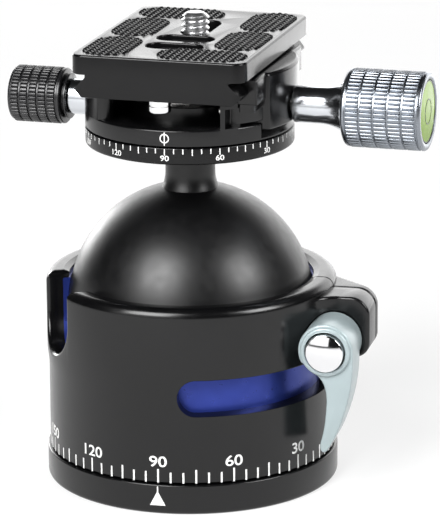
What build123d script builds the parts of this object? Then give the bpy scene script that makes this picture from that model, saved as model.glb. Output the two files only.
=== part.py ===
"""Tripod ball head with a split clamp collar and a panning quick-release clamp.

Millimetres, +Z up. The origin is the mouth of the tripod thread. +X points to the clamp knob,
-Y to the user. Azimuths are counted from -Y towards +X, so an azimuth of 90 points along +X.
"""
import os
from math import cos, degrees, radians, sin, sqrt

from build123d import *

os.makedirs("parts", exist_ok=True)

# ---------------------------------------------------------------- clearances
RUN_FIT = 0.05          # a shaft that turns or slides in its bore, radial
PRESS_FIT = 0.02        # pieces that are pressed or screwed together, radial
FACE_GAP = 0.05         # flat faces that slide on each other
BALL_GAP = 0.30         # ball to cup and ball to seat
SEAM = 0.30             # visible seam of a pan joint
EDGE = 0.30             # broken edge of a turned part

# ---------------------------------------------------------------- ball
BALL_R = 28.0
NECK_R = 5.65
NECK_H = 10.0           # neck above the top of the ball
BALL_BORE_R = 11.0
BALL_BORE_DEPTH = 26.0
BALL_BORE_CONE = 5.0
SPIGOT_R = 4.2
SPIGOT_LEN = 3.0
STEM_BOLT_R = 2.9
STEM_BOLT_HEAD_R = 5.0
STEM_BOLT_HEAD_H = 3.6
STEM_BOLT_DEPTH = 14.0

# ---------------------------------------------------------------- main radii
CUP_WALL = 1.0          # thinnest wall of the cup, beside the ball's centre
COLLAR_WALL = 3.8
COLLAR_STEP = 0.35      # from the collar in to the shell below it
BASE_LIP = 0.65         # from the shell out to the base below it
BORE_R = BALL_R + BALL_GAP + CUP_WALL
COLLAR_R = BORE_R + COLLAR_WALL
HOUSE_R = COLLAR_R - COLLAR_STEP
BASE_R = HOUSE_R + BASE_LIP

# ---------------------------------------------------------------- base and pan bearing
MARK_AZ = 3.16          # azimuth of the index marks
BASE_H = 6.9
BASE_FLOOR = 2.0        # metal left under the dish screw holes
BASE_ROUND = 1.0
THREAD_R = 4.7625       # 3/8 inch tripod thread
BUSH_R = 7.5
BUSH_FLANGE_R = 9.5
BUSH_FLANGE_H = 1.5
SPINDLE_R = 13.4
LIP_H = 2.0
DISH_R = 19.0
DISH_WALL = 1.8
DISH_PLATE = 1.5
DISH_H = 4.95
DISH_SCREW_R = 1.5
DISH_SCREW_HEAD_R = 2.8
DISH_SCREW_PITCH_R = 11.4
DISH_SCREWS = 3
DISH_SCREW_LEN = 6.0
WASHER_T = 0.8
WASHER_R0 = 17.0
WASHER_R1 = 28.0

# ---------------------------------------------------------------- ball housing
BALL_FLOOR = 5.0        # lowest point of the ball above the base
RIM_RISE = 7.6          # rim above the ball centre
CUP_BELOW_RIM = 1.1
CUP_RISE = 7.6          # foot of the cup above the ball's lowest point
SEAT_BELOW_CUP = 4.1
SEAT_TOP_RISE = 16.0    # top of the seat ring above the ball's lowest point
SEAT_INSET = 3.4        # seat bore inside the ball's radius
SEAT_W = 4.0
LUG_BELOW_RIM = 2.1
LUG_H = 14.0
BOLT_RISE = 4.5         # clamp bolt above the underside of the lug
SLOT_BELOW_LUG = 0.3
SLOT_H = 8.35
STEP_RISE = 4.25        # foot of the collar's step above the flexure slot's lower edge
STEP_H = 3.0
NOTCH_DEPTH = 16.5
BALL_FOOT_Z = BASE_H + BALL_FLOOR
BALL_Z = BALL_FOOT_Z + BALL_R
NECK_TOP_Z = BALL_Z + BALL_R + NECK_H
RIM_Z = BALL_Z + RIM_RISE
CUP_Z1 = RIM_Z - CUP_BELOW_RIM
CUP_Z0 = BALL_FOOT_Z + CUP_RISE
SEAT_LEDGE_Z = CUP_Z0 - SEAT_BELOW_CUP
LUG_Z1 = RIM_Z - LUG_BELOW_RIM
LUG_Z0 = LUG_Z1 - LUG_H
BOLT_Z = LUG_Z0 + BOLT_RISE
SLOT_Z1 = LUG_Z0 - SLOT_BELOW_LUG
SLOT_Z0 = SLOT_Z1 - SLOT_H
STEP_Z0 = SLOT_Z0 + STEP_RISE
STEP_Z1 = STEP_Z0 + STEP_H
NOTCH_Z = RIM_Z - NOTCH_DEPTH
RIM_ROUND = 2.2
SPRING_H = 1.4
SEAT_BORE_R = BALL_R - SEAT_INSET
SEAT_RING_R0 = SEAT_BORE_R - SEAT_W
SLOT_AZ0 = 11.0         # left end of the flexure slot
SLOT_PAST_LUG = 8.0     # how far the slot runs on behind the split, degrees
SPLIT_W = 0.8
NOTCH_AZ = -56.0
NOTCH_W = 16.5

# ---------------------------------------------------------------- clamp lug and lever
LUG_REACH = 9.8         # lug past the collar
BOLT_OUT = 2.1          # bolt past the collar
LUG_X = COLLAR_R + LUG_REACH
BOLT_X = COLLAR_R + BOLT_OUT
LUG_ROUND = 3.5
EAR_FRONT = 8.0         # thickness of the front ear
EAR_REAR = 12.2         # reach of the rear ear along the collar
EAR_REAR_TIP = 2.5
EAR_ROOT = 2.1          # rear ear starts this far inside the collar
BOLT_R = 3.0
BOLT_TAIL = 0.5         # bolt past the nut
NUT_AF = 8.0
NUT_H = 4.0
NUT_DEPTH = 4.4
LEVER_WASHER_R = 5.4
LEVER_WASHER_T = 0.6
HUB_R = 5.9
HUB_POCKET_GAP = 0.35
LEVER_FRONT = 19.5
ARM_BACK = 11.0
ARM_LEN = 23.4          # from the bolt to the arm's tip
ARM_TIP_R = 1.0
LEVER_EDGE = 0.6
RING_H = 0.7
RING_W = 1.1
RECESS_R = 4.6
RECESS_DEPTH = 4.6
BUTTON_R = 4.1
BUTTON_LEN = 4.4
BUTTON_FRONT = 21.9
BUTTON_SPRING_W = 0.8

# ---------------------------------------------------------------- rear pan lock
LOCK_AZ = MARK_AZ + 180
LOCK_Z = 12.9
LOCK_SCREW_R = 2.0
LOCK_SHOE_LEN = 2.0
LOCK_KNOB_R = 6.2
LOCK_KNOB_LEN = 8.5
LOCK_KNOB_GAP = 1.4
LOCK_COLLAR_R = 4.2
LOCK_COLLAR_H = 0.7
LOCK_SCREW_GRIP = 5.0

# ---------------------------------------------------------------- panning disc and hub
DOVETAIL_HALF = 19.0
DISC_MARGIN = 4.6       # disc outside the dovetail
DISC_R = DOVETAIL_HALF + DISC_MARGIN
DISC_H = 3.8
DISC_EDGE = 0.5
HUB_POST_R = 10.0
HUB_POST_H = 6.9        # hub post above the disc
HUB_CAP_R = 11.6
HUB_CAP_T = 1.0
CAP_SCREW_R = 1.0
CAP_SCREW_HEAD_R = 1.9
CAP_SCREW_PITCH_R = 7.9
CAP_SCREW_LEN = 5.0
STEM_HEAD_SEAT = 2.2    # metal of the hub under the stem bolt's head, above the disc
PAN_WASHER_R0 = 14.5
PAN_WASHER_R1 = 20.0
PAN_WASHER_T = 0.8

# ---------------------------------------------------------------- clamp body and jaws
CLAMP_RING_H = 3.7      # floor of the open channel above the clamp's underside
SHELF_RISE = 10.25      # plate shelves above the clamp's underside
CHANNEL_INSET = 6.0     # open channel inside the dovetail
CHANNEL_X = DOVETAIL_HALF - CHANNEL_INSET
JAW_H = 4.8             # jaws above the foot of the plate
BOSS_WALL_R = 14.0      # raised wall around the hub post
SHELF_W = 3.3           # right-hand shelf under the plate
JAW_GAP = 0.3
JAW_INSET = 5.1         # ends of the moving jaw inside the disc
JAW_HALF = DISC_R - JAW_INSET
JAW_WALL = 2.1          # jaw outside the dovetail's widest line
BOSS_OUT = 1.0          # jaw boss past the ring
BOSS_HALF = 11.7
BOSS_GAP = 0.3          # jaw boss above the floor of its pocket
WING_GAP = 0.5          # jaw wings above the ring
WING_H = 4.0
GUIDE_INSET = 5.5       # guide pins inside the ends of the moving jaw
GUIDE_Y = JAW_HALF - GUIDE_INSET
GUIDE_RISE = 2.7        # guide pins above the ring
GUIDE_R = 1.25
GUIDE_LEN = 7.4
GUIDE_GRIP = 1.9        # how deep the guide pins sit in the moving jaw
POCKET_CLEAR = 0.5      # ring pocket round the jaw boss
POCKET_RISE = 1.9       # floor of that pocket above the clamp's underside
BEVEL_HALF_AZ = 16.0    # bevelled stretch of the ring under the jaw boss

# ---------------------------------------------------------------- clamp knob
KNOB_RISE = 2.1         # clamp screw above the ring
CLAMP_SCREW_R = 2.5
CLAMP_SCREW_TAIL = 0.8  # clamp screw past the channel wall
CLAMP_SCREW_GRIP = 8.0
RETAINER_R = 3.1
RETAINER_T = 0.8
CLAMP_NECK_R = 4.15
CLAMP_NECK_GAP = 0.2    # neck to the jaw boss
CLAMP_NECK_LEN = 7.8    # straight part of the neck
FLARE_LEN = 4.2
FLARE_R = 6.0
KNOB_LEN = 18.4
KNOB_R = 8.8
KNOB_BACK_RIM = 1.3     # smooth rim behind the knurl
KNOB_FRONT_RIM = 1.1    # smooth rim before the knurl
KNOB_BANDS = 5
BAND_GROOVE_W = 0.5
BAND_GROOVE_D = 0.45
VIAL_R = 7.1
VIAL_H = 2.4

# ---------------------------------------------------------------- clamp pan lock
PIVOT_RISE = 4.4        # lock screw above the clamp's underside
PIVOT_SCREW_R = 2.0
PIVOT_POINT_R = 1.5
PIVOT_POINT_LEN = 3.6
PIVOT_SCREW_GRIP = 3.5  # knob left in front of the lock screw
BUSHING_R = 4.05
BUSHING_SEAT = 4.6      # bushing inside the clamp
BUSHING_OUT = 4.3       # bushing outside the clamp
SIDE_KNOB_GAP = 0.1
SIDE_KNOB_LEN = 13.5
SIDE_KNOB_R = 6.45
SIDE_DISC_R = 5.2
SIDE_DISC_H = 0.6
SIDE_FLANGE_R = 5.75
SIDE_FLANGE_H = 1.1
SIDE_GROOVE_W = 0.3     # groove between the disc and the flange
SIDE_NECK_LEN = 2.9     # knob behind its knurl
SIDE_FRONT_RIM = 0.6

# ---------------------------------------------------------------- quick-release plate
FLANGE_OUT = 1.0        # plate flange outside the dovetail
PLATE_W = 2 * (DOVETAIL_HALF + FLANGE_OUT)
PLATE_L = 54.1
PLATE_Y = 2.1           # plate centre along the dovetail
PLATE_H = 9.55
FLANGE_GAP = 0.4        # plate flange above the jaws
DOVETAIL_RISE = 1.8     # widest line of the dovetail above the plate's foot
DOVETAIL_LAND = 0.4
DOVETAIL_GAP = 0.12     # sideways gap between a plate flank and a closed jaw
DOVETAIL_NECK = 2.8     # plate above the dovetail, narrower by this on each side
DOVETAIL_FOOT = 1.8     # plate's foot, narrower by this on each side
PLATE_CORNER = 3.0
POCKET_H = 4.3          # depth of the pocket under the plate
POCKET_W = 15.6
POCKET_Y0 = -14.5
POCKET_Y1 = 22.5
SCREW_Y = 4.9
SCREW_TRAVEL = 9.0
CAM_SCREW_R = 3.175     # 1/4 inch camera thread
CAM_SCREW_OUT = 4.55    # camera screw above the plate
CAM_RELIEF_R = 2.5      # relief between the head and the thread
CAM_RELIEF_OUT = 0.45   # relief above the plate
CAM_SCREW_EDGE = 0.5
CAM_HEAD_R = 6.8
CAM_HEAD_H = 2.9
CAM_WASHER_T = 0.35
SCREW_SLOT_GAP = 0.15
PAD_DEPTH = 0.9
PAD_PROUD = 0.35
PAD_W = 11.0
PAD_L = 19.7
CROSS_PAD_L = 21.0
PAD_SPACE = 0.9         # land between neighbouring pads
PAD_CORNER = 4.0
PAD_FIT = 0.05
PAD_EDGE = 0.9          # land between the plate edge and a pad
STRAP_W = 13.3
STRAP_H = 6.2
STRAP_Y = (-2.7, -11.0)
STRAP_LEDGE = 0.9
STRAP_LEDGE_DEPTH = 1.3
PIN_R = 2.5
PIN_H = 2.8
PIN_SHANK_R = 1.6
PIN_SHANK_LEN = 3.0
PIN_EDGE = 0.25
PIN_INSET = 0.15        # stop pins inside the ends of the plate

# ---------------------------------------------------------------- heights and reaches that follow
CLAMP_Z0 = NECK_TOP_Z + DISC_H + SEAM
RING_TOP_Z = CLAMP_Z0 + CLAMP_RING_H
SHELF_Z = CLAMP_Z0 + SHELF_RISE
POCKET_Z = CLAMP_Z0 + POCKET_RISE
BOSS_BOTTOM_Z = POCKET_Z + BOSS_GAP
WING_Z = RING_TOP_Z + WING_GAP
WING_STEP_Z = WING_Z + WING_H
GUIDE_Z = RING_TOP_Z + GUIDE_RISE
KNOB_Z = RING_TOP_Z + KNOB_RISE
PIVOT_Z = CLAMP_Z0 + PIVOT_RISE
PLATE_Z0 = SHELF_Z + FACE_GAP
PLATE_Z1 = PLATE_Z0 + PLATE_H
JAW_TOP_Z = PLATE_Z0 + JAW_H
FLANGE_Z = JAW_TOP_Z + FLANGE_GAP
DOVETAIL_Z = PLATE_Z0 + DOVETAIL_RISE
WEB_Z = PLATE_Z0 + POCKET_H
CAM_SCREW_TOP_Z = PLATE_Z1 + CAM_SCREW_OUT
PIN_Y = PLATE_L / 2 - PIN_INSET - PIN_R
NECK_HALF = DOVETAIL_HALF - DOVETAIL_NECK
FOOT_HALF = DOVETAIL_HALF - DOVETAIL_FOOT
JAW_OUT_X = DOVETAIL_HALF + JAW_WALL
BOSS_R = DISC_R + BOSS_OUT
CLAMP_NECK_X0 = BOSS_R + CLAMP_NECK_GAP
FLARE_X0 = CLAMP_NECK_X0 + CLAMP_NECK_LEN
KNOB_X0 = FLARE_X0 + FLARE_LEN
KNOB_X1 = KNOB_X0 + KNOB_LEN
KNOB_BAND_X0 = KNOB_X0 + KNOB_BACK_RIM
KNOB_BAND_X1 = KNOB_X1 - KNOB_FRONT_RIM
BUSHING_X0 = DISC_R - BUSHING_SEAT
BUSHING_X = DISC_R + BUSHING_OUT
SIDE_KNOB_X0 = BUSHING_X + SIDE_KNOB_GAP
SIDE_KNOB_X1 = SIDE_KNOB_X0 + SIDE_KNOB_LEN
SIDE_BAND_X0 = SIDE_KNOB_X0 + SIDE_NECK_LEN
SIDE_BAND_X1 = SIDE_KNOB_X1 - SIDE_FRONT_RIM


def radial_plane(azimuth, radius, height=0.0):
    """Plane at a radius that faces outwards at an azimuth, with its own Y straight up."""
    a = radians(azimuth)
    outward = Vector(sin(a), -cos(a), 0)
    return Plane(
        origin=outward * radius + Vector(0, 0, height),
        x_dir=Vector(cos(a), sin(a), 0),
        z_dir=outward,
    )


forward = (sin(radians(MARK_AZ)), -cos(radians(MARK_AZ)), 0)   # from the centre to the mark


def bolt_plane(depth):
    """Plane square to the clamp bolt and centred on it, at a depth towards the user."""
    plane = radial_plane(MARK_AZ, depth)
    return plane.shift_origin(plane.from_local_coords(Vector(BOLT_X, BOLT_Z, 0)))


def level_plane(height, turn=0.0):
    """Horizontal plane at a height, turned about the centre line."""
    return Plane.XY.offset(height).rotated((0, 0, turn))


def side_plane(x, y, z):
    """Plane that faces along +X at a point."""
    return Plane(origin=(x, y, z), x_dir=(0, 1, 0), z_dir=(1, 0, 0))


def publish(part, name):
    """Give the piece its name and write it to its own file."""
    part.label = name
    export_step(part, f"parts/{name}.step")


def outline(*points):
    """Closed straight-sided face through points in the sketch's own axes."""
    Polygon(*points, align=None)


# ================================================================ base
washer_z = BASE_H + SEAM - FACE_GAP - WASHER_T
house_z0 = BASE_H + SEAM
lip_top_z = house_z0 + LIP_H
spindle_z = lip_top_z + FACE_GAP
dish_floor_z = spindle_z + DISH_PLATE
dish_top_z = spindle_z + DISH_H

with BuildPart() as base_disc:
    with BuildSketch(Plane.XZ):
        outline((0, 0), (BASE_R, 0), (BASE_R, BASE_H), (SPINDLE_R, BASE_H),
                (SPINDLE_R, spindle_z), (0, spindle_z))
    revolve(axis=Axis.Z)
    fillet(base_disc.edges().filter_by(GeomType.CIRCLE).group_by(Axis.Z)[0], BASE_ROUND)
    chamfer(base_disc.faces().sort_by(Axis.Z)[-2].outer_wire().edges(), EDGE)
    # groove for the friction washer
    with BuildSketch(level_plane(washer_z)):
        Circle(WASHER_R1 + FACE_GAP)
        Circle(WASHER_R0 - FACE_GAP, mode=Mode.SUBTRACT)
    extrude(amount=BASE_H - washer_z, mode=Mode.SUBTRACT)
    # stepped bore for the tripod bush
    with BuildSketch(level_plane(0)):
        Circle(BUSH_R + PRESS_FIT)
    extrude(amount=spindle_z, mode=Mode.SUBTRACT)
    with BuildSketch(level_plane(spindle_z - BUSH_FLANGE_H)):
        Circle(BUSH_FLANGE_R + PRESS_FIT)
    extrude(amount=BUSH_FLANGE_H, mode=Mode.SUBTRACT)
    # tapped holes for the dish screws
    with Locations((0, 0, spindle_z)):
        with PolarLocations(DISH_SCREW_PITCH_R, DISH_SCREWS):
            Hole(DISH_SCREW_R + PRESS_FIT, depth=spindle_z - BASE_FLOOR)
publish(base_disc.part, "base_disc")

with BuildPart() as tripod_bush:
    with BuildSketch(Plane.XZ):
        outline((THREAD_R, 0), (BUSH_R, 0), (BUSH_R, spindle_z - BUSH_FLANGE_H),
                (BUSH_FLANGE_R, spindle_z - BUSH_FLANGE_H), (BUSH_FLANGE_R, spindle_z),
                (THREAD_R, spindle_z))
    revolve(axis=Axis.Z)
publish(tripod_bush.part, "tripod_bush")

with BuildPart() as pan_washer:
    with BuildSketch(level_plane(washer_z)):
        Circle(WASHER_R1)
        Circle(WASHER_R0, mode=Mode.SUBTRACT)
    extrude(amount=WASHER_T)
publish(pan_washer.part, "base_pan_washer")

# dish that holds the housing down and carries the brake rim
with BuildPart() as retaining_dish:
    with BuildSketch(Plane.XZ):
        outline((0, spindle_z), (DISH_R, spindle_z), (DISH_R, dish_top_z),
                (DISH_R - DISH_WALL, dish_top_z), (DISH_R - DISH_WALL, dish_floor_z),
                (0, dish_floor_z))
    revolve(axis=Axis.Z)
    with BuildSketch(level_plane(spindle_z)):
        Circle(THREAD_R + 1.0)
    extrude(amount=DISH_PLATE, mode=Mode.SUBTRACT)
    with Locations((0, 0, dish_floor_z)):
        with PolarLocations(DISH_SCREW_PITCH_R, DISH_SCREWS):
            CounterSinkHole(DISH_SCREW_R + PRESS_FIT, DISH_SCREW_HEAD_R + PRESS_FIT, DISH_PLATE)
publish(retaining_dish.part, "retaining_dish")

with BuildPart() as dish_screws:
    with PolarLocations(DISH_SCREW_PITCH_R, DISH_SCREWS):
        with Locations((0, 0, dish_floor_z)):
            with Locations((0, 0, -(DISH_SCREW_HEAD_R - DISH_SCREW_R) / 2)):
                Cone(DISH_SCREW_R, DISH_SCREW_HEAD_R, DISH_SCREW_HEAD_R - DISH_SCREW_R)
            Cylinder(DISH_SCREW_R, DISH_SCREW_LEN, align=(Align.CENTER, Align.CENTER, Align.MAX))
publish(dish_screws.part, "dish_screws")

# ================================================================ ball housing
notch_r = NOTCH_W / 2
slot_r = (SLOT_Z1 - SLOT_Z0) / 2
slot_mid_z = (SLOT_Z0 + SLOT_Z1) / 2
slot_start = SLOT_AZ0 + degrees(slot_r / HOUSE_R)
lug_az = MARK_AZ + 90
slot_end = lug_az + SLOT_PAST_LUG
pocket_r = HUB_R + HUB_POCKET_GAP
nut_r = NUT_AF / sqrt(3)


def drop_notch(inner, outer):
    """U-shaped cut that lets the neck drop level, from an inner to an outer radius."""
    with BuildSketch(radial_plane(NOTCH_AZ, inner, NOTCH_Z + notch_r)) as opening:
        Circle(notch_r)
        with Locations((0, RIM_Z / 2)):
            Rectangle(NOTCH_W, RIM_Z)
    extrude(opening.sketch, amount=outer - inner, mode=Mode.SUBTRACT)


def collar_split(width, inner, z0):
    """Slit through the collar and between the two ears of the lug."""
    with BuildSketch(radial_plane(MARK_AZ, -width / 2)) as slit:
        with Locations(((LUG_X + inner) / 2 + 2, (RIM_Z + z0) / 2 + 2)):
            Rectangle(LUG_X - inner + 4, RIM_Z - z0 + 4)
    extrude(slit.sketch, amount=width, mode=Mode.SUBTRACT)


with BuildPart() as ball_housing:
    # lug of the clamp collar, seen along the clamp bolt
    with BuildSketch(radial_plane(MARK_AZ, -EAR_REAR)):
        with Locations(((LUG_X + BORE_R) / 2 - 2, (LUG_Z0 + LUG_Z1) / 2)):
            RectangleRounded(LUG_X - BORE_R + 4, LUG_Z1 - LUG_Z0, LUG_ROUND)
    extrude(amount=EAR_REAR + EAR_FRONT)
    # the rear ear fairs back into the collar
    with BuildSketch(level_plane(LUG_Z0 - 1, MARK_AZ)):
        outline((LUG_X + 1, EAR_REAR_TIP), (LUG_X, EAR_REAR_TIP), (COLLAR_R - EAR_ROOT, EAR_REAR),
                (COLLAR_R - EAR_ROOT, EAR_REAR + 2), (LUG_X + 1, EAR_REAR + 2))
    extrude(amount=LUG_Z1 - LUG_Z0 + 2, mode=Mode.SUBTRACT)
    # turned shell with its rounded rim
    with BuildSketch(Plane.XZ):
        with BuildLine():
            Polyline((SPINDLE_R + RUN_FIT, house_z0), (HOUSE_R - EDGE, house_z0),
                     (HOUSE_R, house_z0 + EDGE), (HOUSE_R, STEP_Z0), (COLLAR_R, STEP_Z1),
                     (COLLAR_R, RIM_Z - RIM_ROUND))
            RadiusArc((COLLAR_R, RIM_Z - RIM_ROUND), (COLLAR_R - RIM_ROUND, RIM_Z), -RIM_ROUND)
            Polyline((COLLAR_R - RIM_ROUND, RIM_Z), (BORE_R - 2, RIM_Z),
                     (BORE_R - 2, CUP_Z0 - 1), (SPINDLE_R + RUN_FIT, CUP_Z0 - 1),
                     (SPINDLE_R + RUN_FIT, house_z0))
        make_face()
    revolve(axis=Axis.Z)
    # stepped cavity for the cup, the seat ring, the spring and the dish
    with BuildSketch(Plane.XZ):
        outline((0, lip_top_z), (DISH_R + 0.4, lip_top_z), (DISH_R + 0.4, SEAT_LEDGE_Z),
                (SEAT_BORE_R, SEAT_LEDGE_Z), (SEAT_BORE_R, CUP_Z0), (BORE_R, CUP_Z0),
                (BORE_R, RIM_Z - EDGE), (BORE_R + EDGE, RIM_Z), (BORE_R + EDGE, RIM_Z + 1),
                (0, RIM_Z + 1))
    revolve(axis=Axis.Z, mode=Mode.SUBTRACT)
    # flexure slot under the collar, round at both ends
    with BuildSketch(Plane.XZ.rotated((0, 0, slot_start - 90))):
        with Locations(((BORE_R + COLLAR_R) / 2, slot_mid_z)):
            Rectangle(COLLAR_R - BORE_R + 4, SLOT_Z1 - SLOT_Z0)
    revolve(axis=Axis.Z, revolution_arc=slot_end - slot_start, mode=Mode.SUBTRACT)
    for azimuth in (slot_start, slot_end):
        with BuildSketch(radial_plane(azimuth, BORE_R - 2, slot_mid_z)):
            Circle(slot_r)
        extrude(amount=COLLAR_R - BORE_R + 4, mode=Mode.SUBTRACT)
    collar_split(SPLIT_W, BORE_R - 2, SLOT_Z1 - 1)
    drop_notch(BORE_R - 8, COLLAR_R + 4)
    # pocket for the lever hub in front of the front ear
    with BuildSketch(bolt_plane(EAR_FRONT)):
        Circle(pocket_r)
    extrude(amount=LEVER_FRONT, mode=Mode.SUBTRACT)
    # bolt hole through both ears and the hexagon for the captive nut
    with BuildSketch(bolt_plane(-EAR_REAR - 3)):
        Circle(BOLT_R + RUN_FIT)
    extrude(amount=EAR_REAR + EAR_FRONT + 4, mode=Mode.SUBTRACT)
    with BuildSketch(bolt_plane(-EAR_REAR - 3)):
        RegularPolygon(nut_r + PRESS_FIT, 6)
    extrude(amount=EAR_REAR + 3 - NUT_DEPTH, mode=Mode.SUBTRACT)
    # tapped hole for the pan lock
    with BuildSketch(radial_plane(LOCK_AZ, DISH_R - 1, LOCK_Z)):
        Circle(LOCK_SCREW_R + RUN_FIT)
    extrude(amount=HOUSE_R - DISH_R + 3, mode=Mode.SUBTRACT)
publish(ball_housing.part, "ball_housing")

with BuildPart() as ball_cup:
    with BuildSketch(Plane.XZ):
        outline((SEAT_BORE_R + 0.2, CUP_Z0), (BORE_R - PRESS_FIT, CUP_Z0),
                (BORE_R - PRESS_FIT, CUP_Z1), (SEAT_BORE_R + 0.2, CUP_Z1))
    revolve(axis=Axis.Z)
    with Locations((0, 0, BALL_Z)):
        Sphere(BALL_R + BALL_GAP, mode=Mode.SUBTRACT)
    collar_split(SPLIT_W, BALL_R - 8, CUP_Z0 - 3)
    drop_notch(BORE_R - 10, COLLAR_R + 4)
publish(ball_cup.part, "ball_cup")

spring_top_z = SEAT_LEDGE_Z + SPRING_H
seat_top_z = BALL_FOOT_Z + SEAT_TOP_RISE
with BuildPart() as seat_ring:
    with BuildSketch(Plane.XZ):
        outline((SEAT_RING_R0, spring_top_z), (SEAT_BORE_R - RUN_FIT, spring_top_z),
                (SEAT_BORE_R - RUN_FIT, seat_top_z), (SEAT_RING_R0, seat_top_z))
    revolve(axis=Axis.Z)
    with Locations((0, 0, BALL_Z)):
        Sphere(BALL_R + BALL_GAP, mode=Mode.SUBTRACT)
publish(seat_ring.part, "seat_ring")

with BuildPart() as seat_spring:
    with BuildSketch(level_plane(SEAT_LEDGE_Z)):
        Circle(SEAT_BORE_R - 0.4)
        Circle(SEAT_RING_R0, mode=Mode.SUBTRACT)
    extrude(amount=SPRING_H)
publish(seat_spring.part, "seat_spring")

with BuildPart() as lug_nut:
    with BuildSketch(bolt_plane(-NUT_DEPTH - NUT_H)):
        RegularPolygon(nut_r, 6)
        Circle(BOLT_R + RUN_FIT, mode=Mode.SUBTRACT)
    extrude(amount=NUT_H)
publish(lug_nut.part, "lug_nut")

# ================================================================ clamp lever
hub_back = EAR_FRONT + FACE_GAP + LEVER_WASHER_T
ring_front = LEVER_FRONT + RING_H
recess_floor = ring_front - RECESS_DEPTH



def arm_point(across, along):
    """Point on the edge of the arm, in hub radii across it and in arm lengths down it."""
    return (across * HUB_R, -along * ARM_LEN)


with BuildPart() as clamp_lever:
    # swept arm, drawn about the bolt
    with BuildSketch(bolt_plane(ARM_BACK)):
        with BuildLine():
            outer = Spline(arm_point(1, 0), arm_point(0.93, 0.26), arm_point(0.75, 0.53),
                           arm_point(0.44, 0.79), arm_point(0.09, 1),
                           tangents=((0, -1), (-0.48, -1)))
            tip = RadiusArc(outer @ 1, arm_point(-0.18, 0.95), ARM_TIP_R)
            inner = Spline(tip @ 1, arm_point(-0.1, 0.79), arm_point(0.03, 0.57),
                           arm_point(0, 0.38), arm_point(-0.34, 0.24),
                           tangents=((0.25, 1), (-1, 0.9)))
            Polyline(inner @ 1, (0, 0), outer @ 0)
        make_face()
    extrude(amount=LEVER_FRONT - ARM_BACK)
    with BuildSketch(bolt_plane(hub_back)):
        Circle(HUB_R)
    extrude(amount=LEVER_FRONT - hub_back)
    front = clamp_lever.faces().sort_by(Axis((0, 0, 0), forward))[-1]
    chamfer(front.outer_wire().edges(), LEVER_EDGE)
    # raised ring round the button and the button's recess
    with BuildSketch(bolt_plane(LEVER_FRONT - 1)):
        Circle(RECESS_R + RING_W)
    extrude(amount=RING_H + 1)
    with BuildSketch(bolt_plane(recess_floor)):
        Circle(RECESS_R)
    extrude(amount=RECESS_DEPTH, mode=Mode.SUBTRACT)
    with BuildSketch(bolt_plane(hub_back)):
        Circle(BOLT_R + PRESS_FIT)
    extrude(amount=recess_floor - hub_back, mode=Mode.SUBTRACT)
publish(clamp_lever.part, "clamp_lever")

with BuildPart() as lever_washer:
    with BuildSketch(bolt_plane(EAR_FRONT + FACE_GAP)):
        Circle(LEVER_WASHER_R)
        Circle(BOLT_R + RUN_FIT, mode=Mode.SUBTRACT)
    extrude(amount=LEVER_WASHER_T)
publish(lever_washer.part, "lever_washer")

with BuildPart() as clamp_bolt:
    with BuildSketch(bolt_plane(-NUT_DEPTH - NUT_H - BOLT_TAIL)):
        Circle(BOLT_R)
    extrude(amount=NUT_DEPTH + NUT_H + BOLT_TAIL + recess_floor)
publish(clamp_bolt.part, "clamp_bolt")

with BuildPart() as button_spring:
    with BuildSketch(bolt_plane(recess_floor + FACE_GAP)):
        Circle(BUTTON_R - 0.2)
        Circle(BUTTON_R - 0.2 - BUTTON_SPRING_W, mode=Mode.SUBTRACT)
    extrude(amount=BUTTON_FRONT - BUTTON_LEN - recess_floor - 2 * FACE_GAP)
publish(button_spring.part, "button_spring")

with BuildPart() as lever_button:
    with BuildSketch(bolt_plane(BUTTON_FRONT - BUTTON_LEN)):
        Circle(BUTTON_R)
    extrude(amount=BUTTON_LEN)
    crown = lever_button.faces().sort_by(Axis((0, 0, 0), forward))[-1]
    fillet(crown.edges(), 1.0)
publish(lever_button.part, "lever_button")

# ================================================================ rear pan lock
shoe_r0 = DISH_R + FACE_GAP
lock_screw_r0 = shoe_r0 + LOCK_SHOE_LEN + FACE_GAP
lock_knob_r0 = HOUSE_R + LOCK_KNOB_GAP

with BuildPart() as pan_lock_shoe:
    with BuildSketch(radial_plane(LOCK_AZ, shoe_r0, LOCK_Z)):
        Circle(LOCK_SCREW_R)
    extrude(amount=LOCK_SHOE_LEN)
publish(pan_lock_shoe.part, "pan_lock_shoe")

with BuildPart() as pan_lock_screw:
    with BuildSketch(radial_plane(LOCK_AZ, lock_screw_r0, LOCK_Z)):
        Circle(LOCK_SCREW_R)
    extrude(amount=lock_knob_r0 + LOCK_SCREW_GRIP - lock_screw_r0)
publish(pan_lock_screw.part, "pan_lock_screw")

with BuildPart() as pan_lock_knob:
    with BuildSketch(radial_plane(LOCK_AZ, lock_knob_r0 - LOCK_COLLAR_H, LOCK_Z)):
        Circle(LOCK_COLLAR_R)
    extrude(amount=LOCK_COLLAR_H + EDGE)
    with BuildSketch(radial_plane(LOCK_AZ, lock_knob_r0, LOCK_Z)):
        Circle(LOCK_KNOB_R)
    extrude(amount=LOCK_KNOB_LEN)
    rearward = Axis((0, 0, 0), (-forward[0], -forward[1], 0))
    chamfer(pan_lock_knob.faces().sort_by(rearward)[-1].edges(), 0.8)
    with BuildSketch(radial_plane(LOCK_AZ, lock_knob_r0 - LOCK_COLLAR_H, LOCK_Z)):
        Circle(LOCK_SCREW_R + PRESS_FIT)
    extrude(amount=LOCK_COLLAR_H + LOCK_SCREW_GRIP, mode=Mode.SUBTRACT)
publish(pan_lock_knob.part, "pan_lock_knob")

# ================================================================ ball and neck
neck_foot_z = BALL_Z + sqrt(BALL_R**2 - NECK_R**2)
disc_top_z = NECK_TOP_Z + DISC_H
stem_head_z = disc_top_z + STEM_HEAD_SEAT
hub_post_z = disc_top_z + HUB_POST_H

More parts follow.
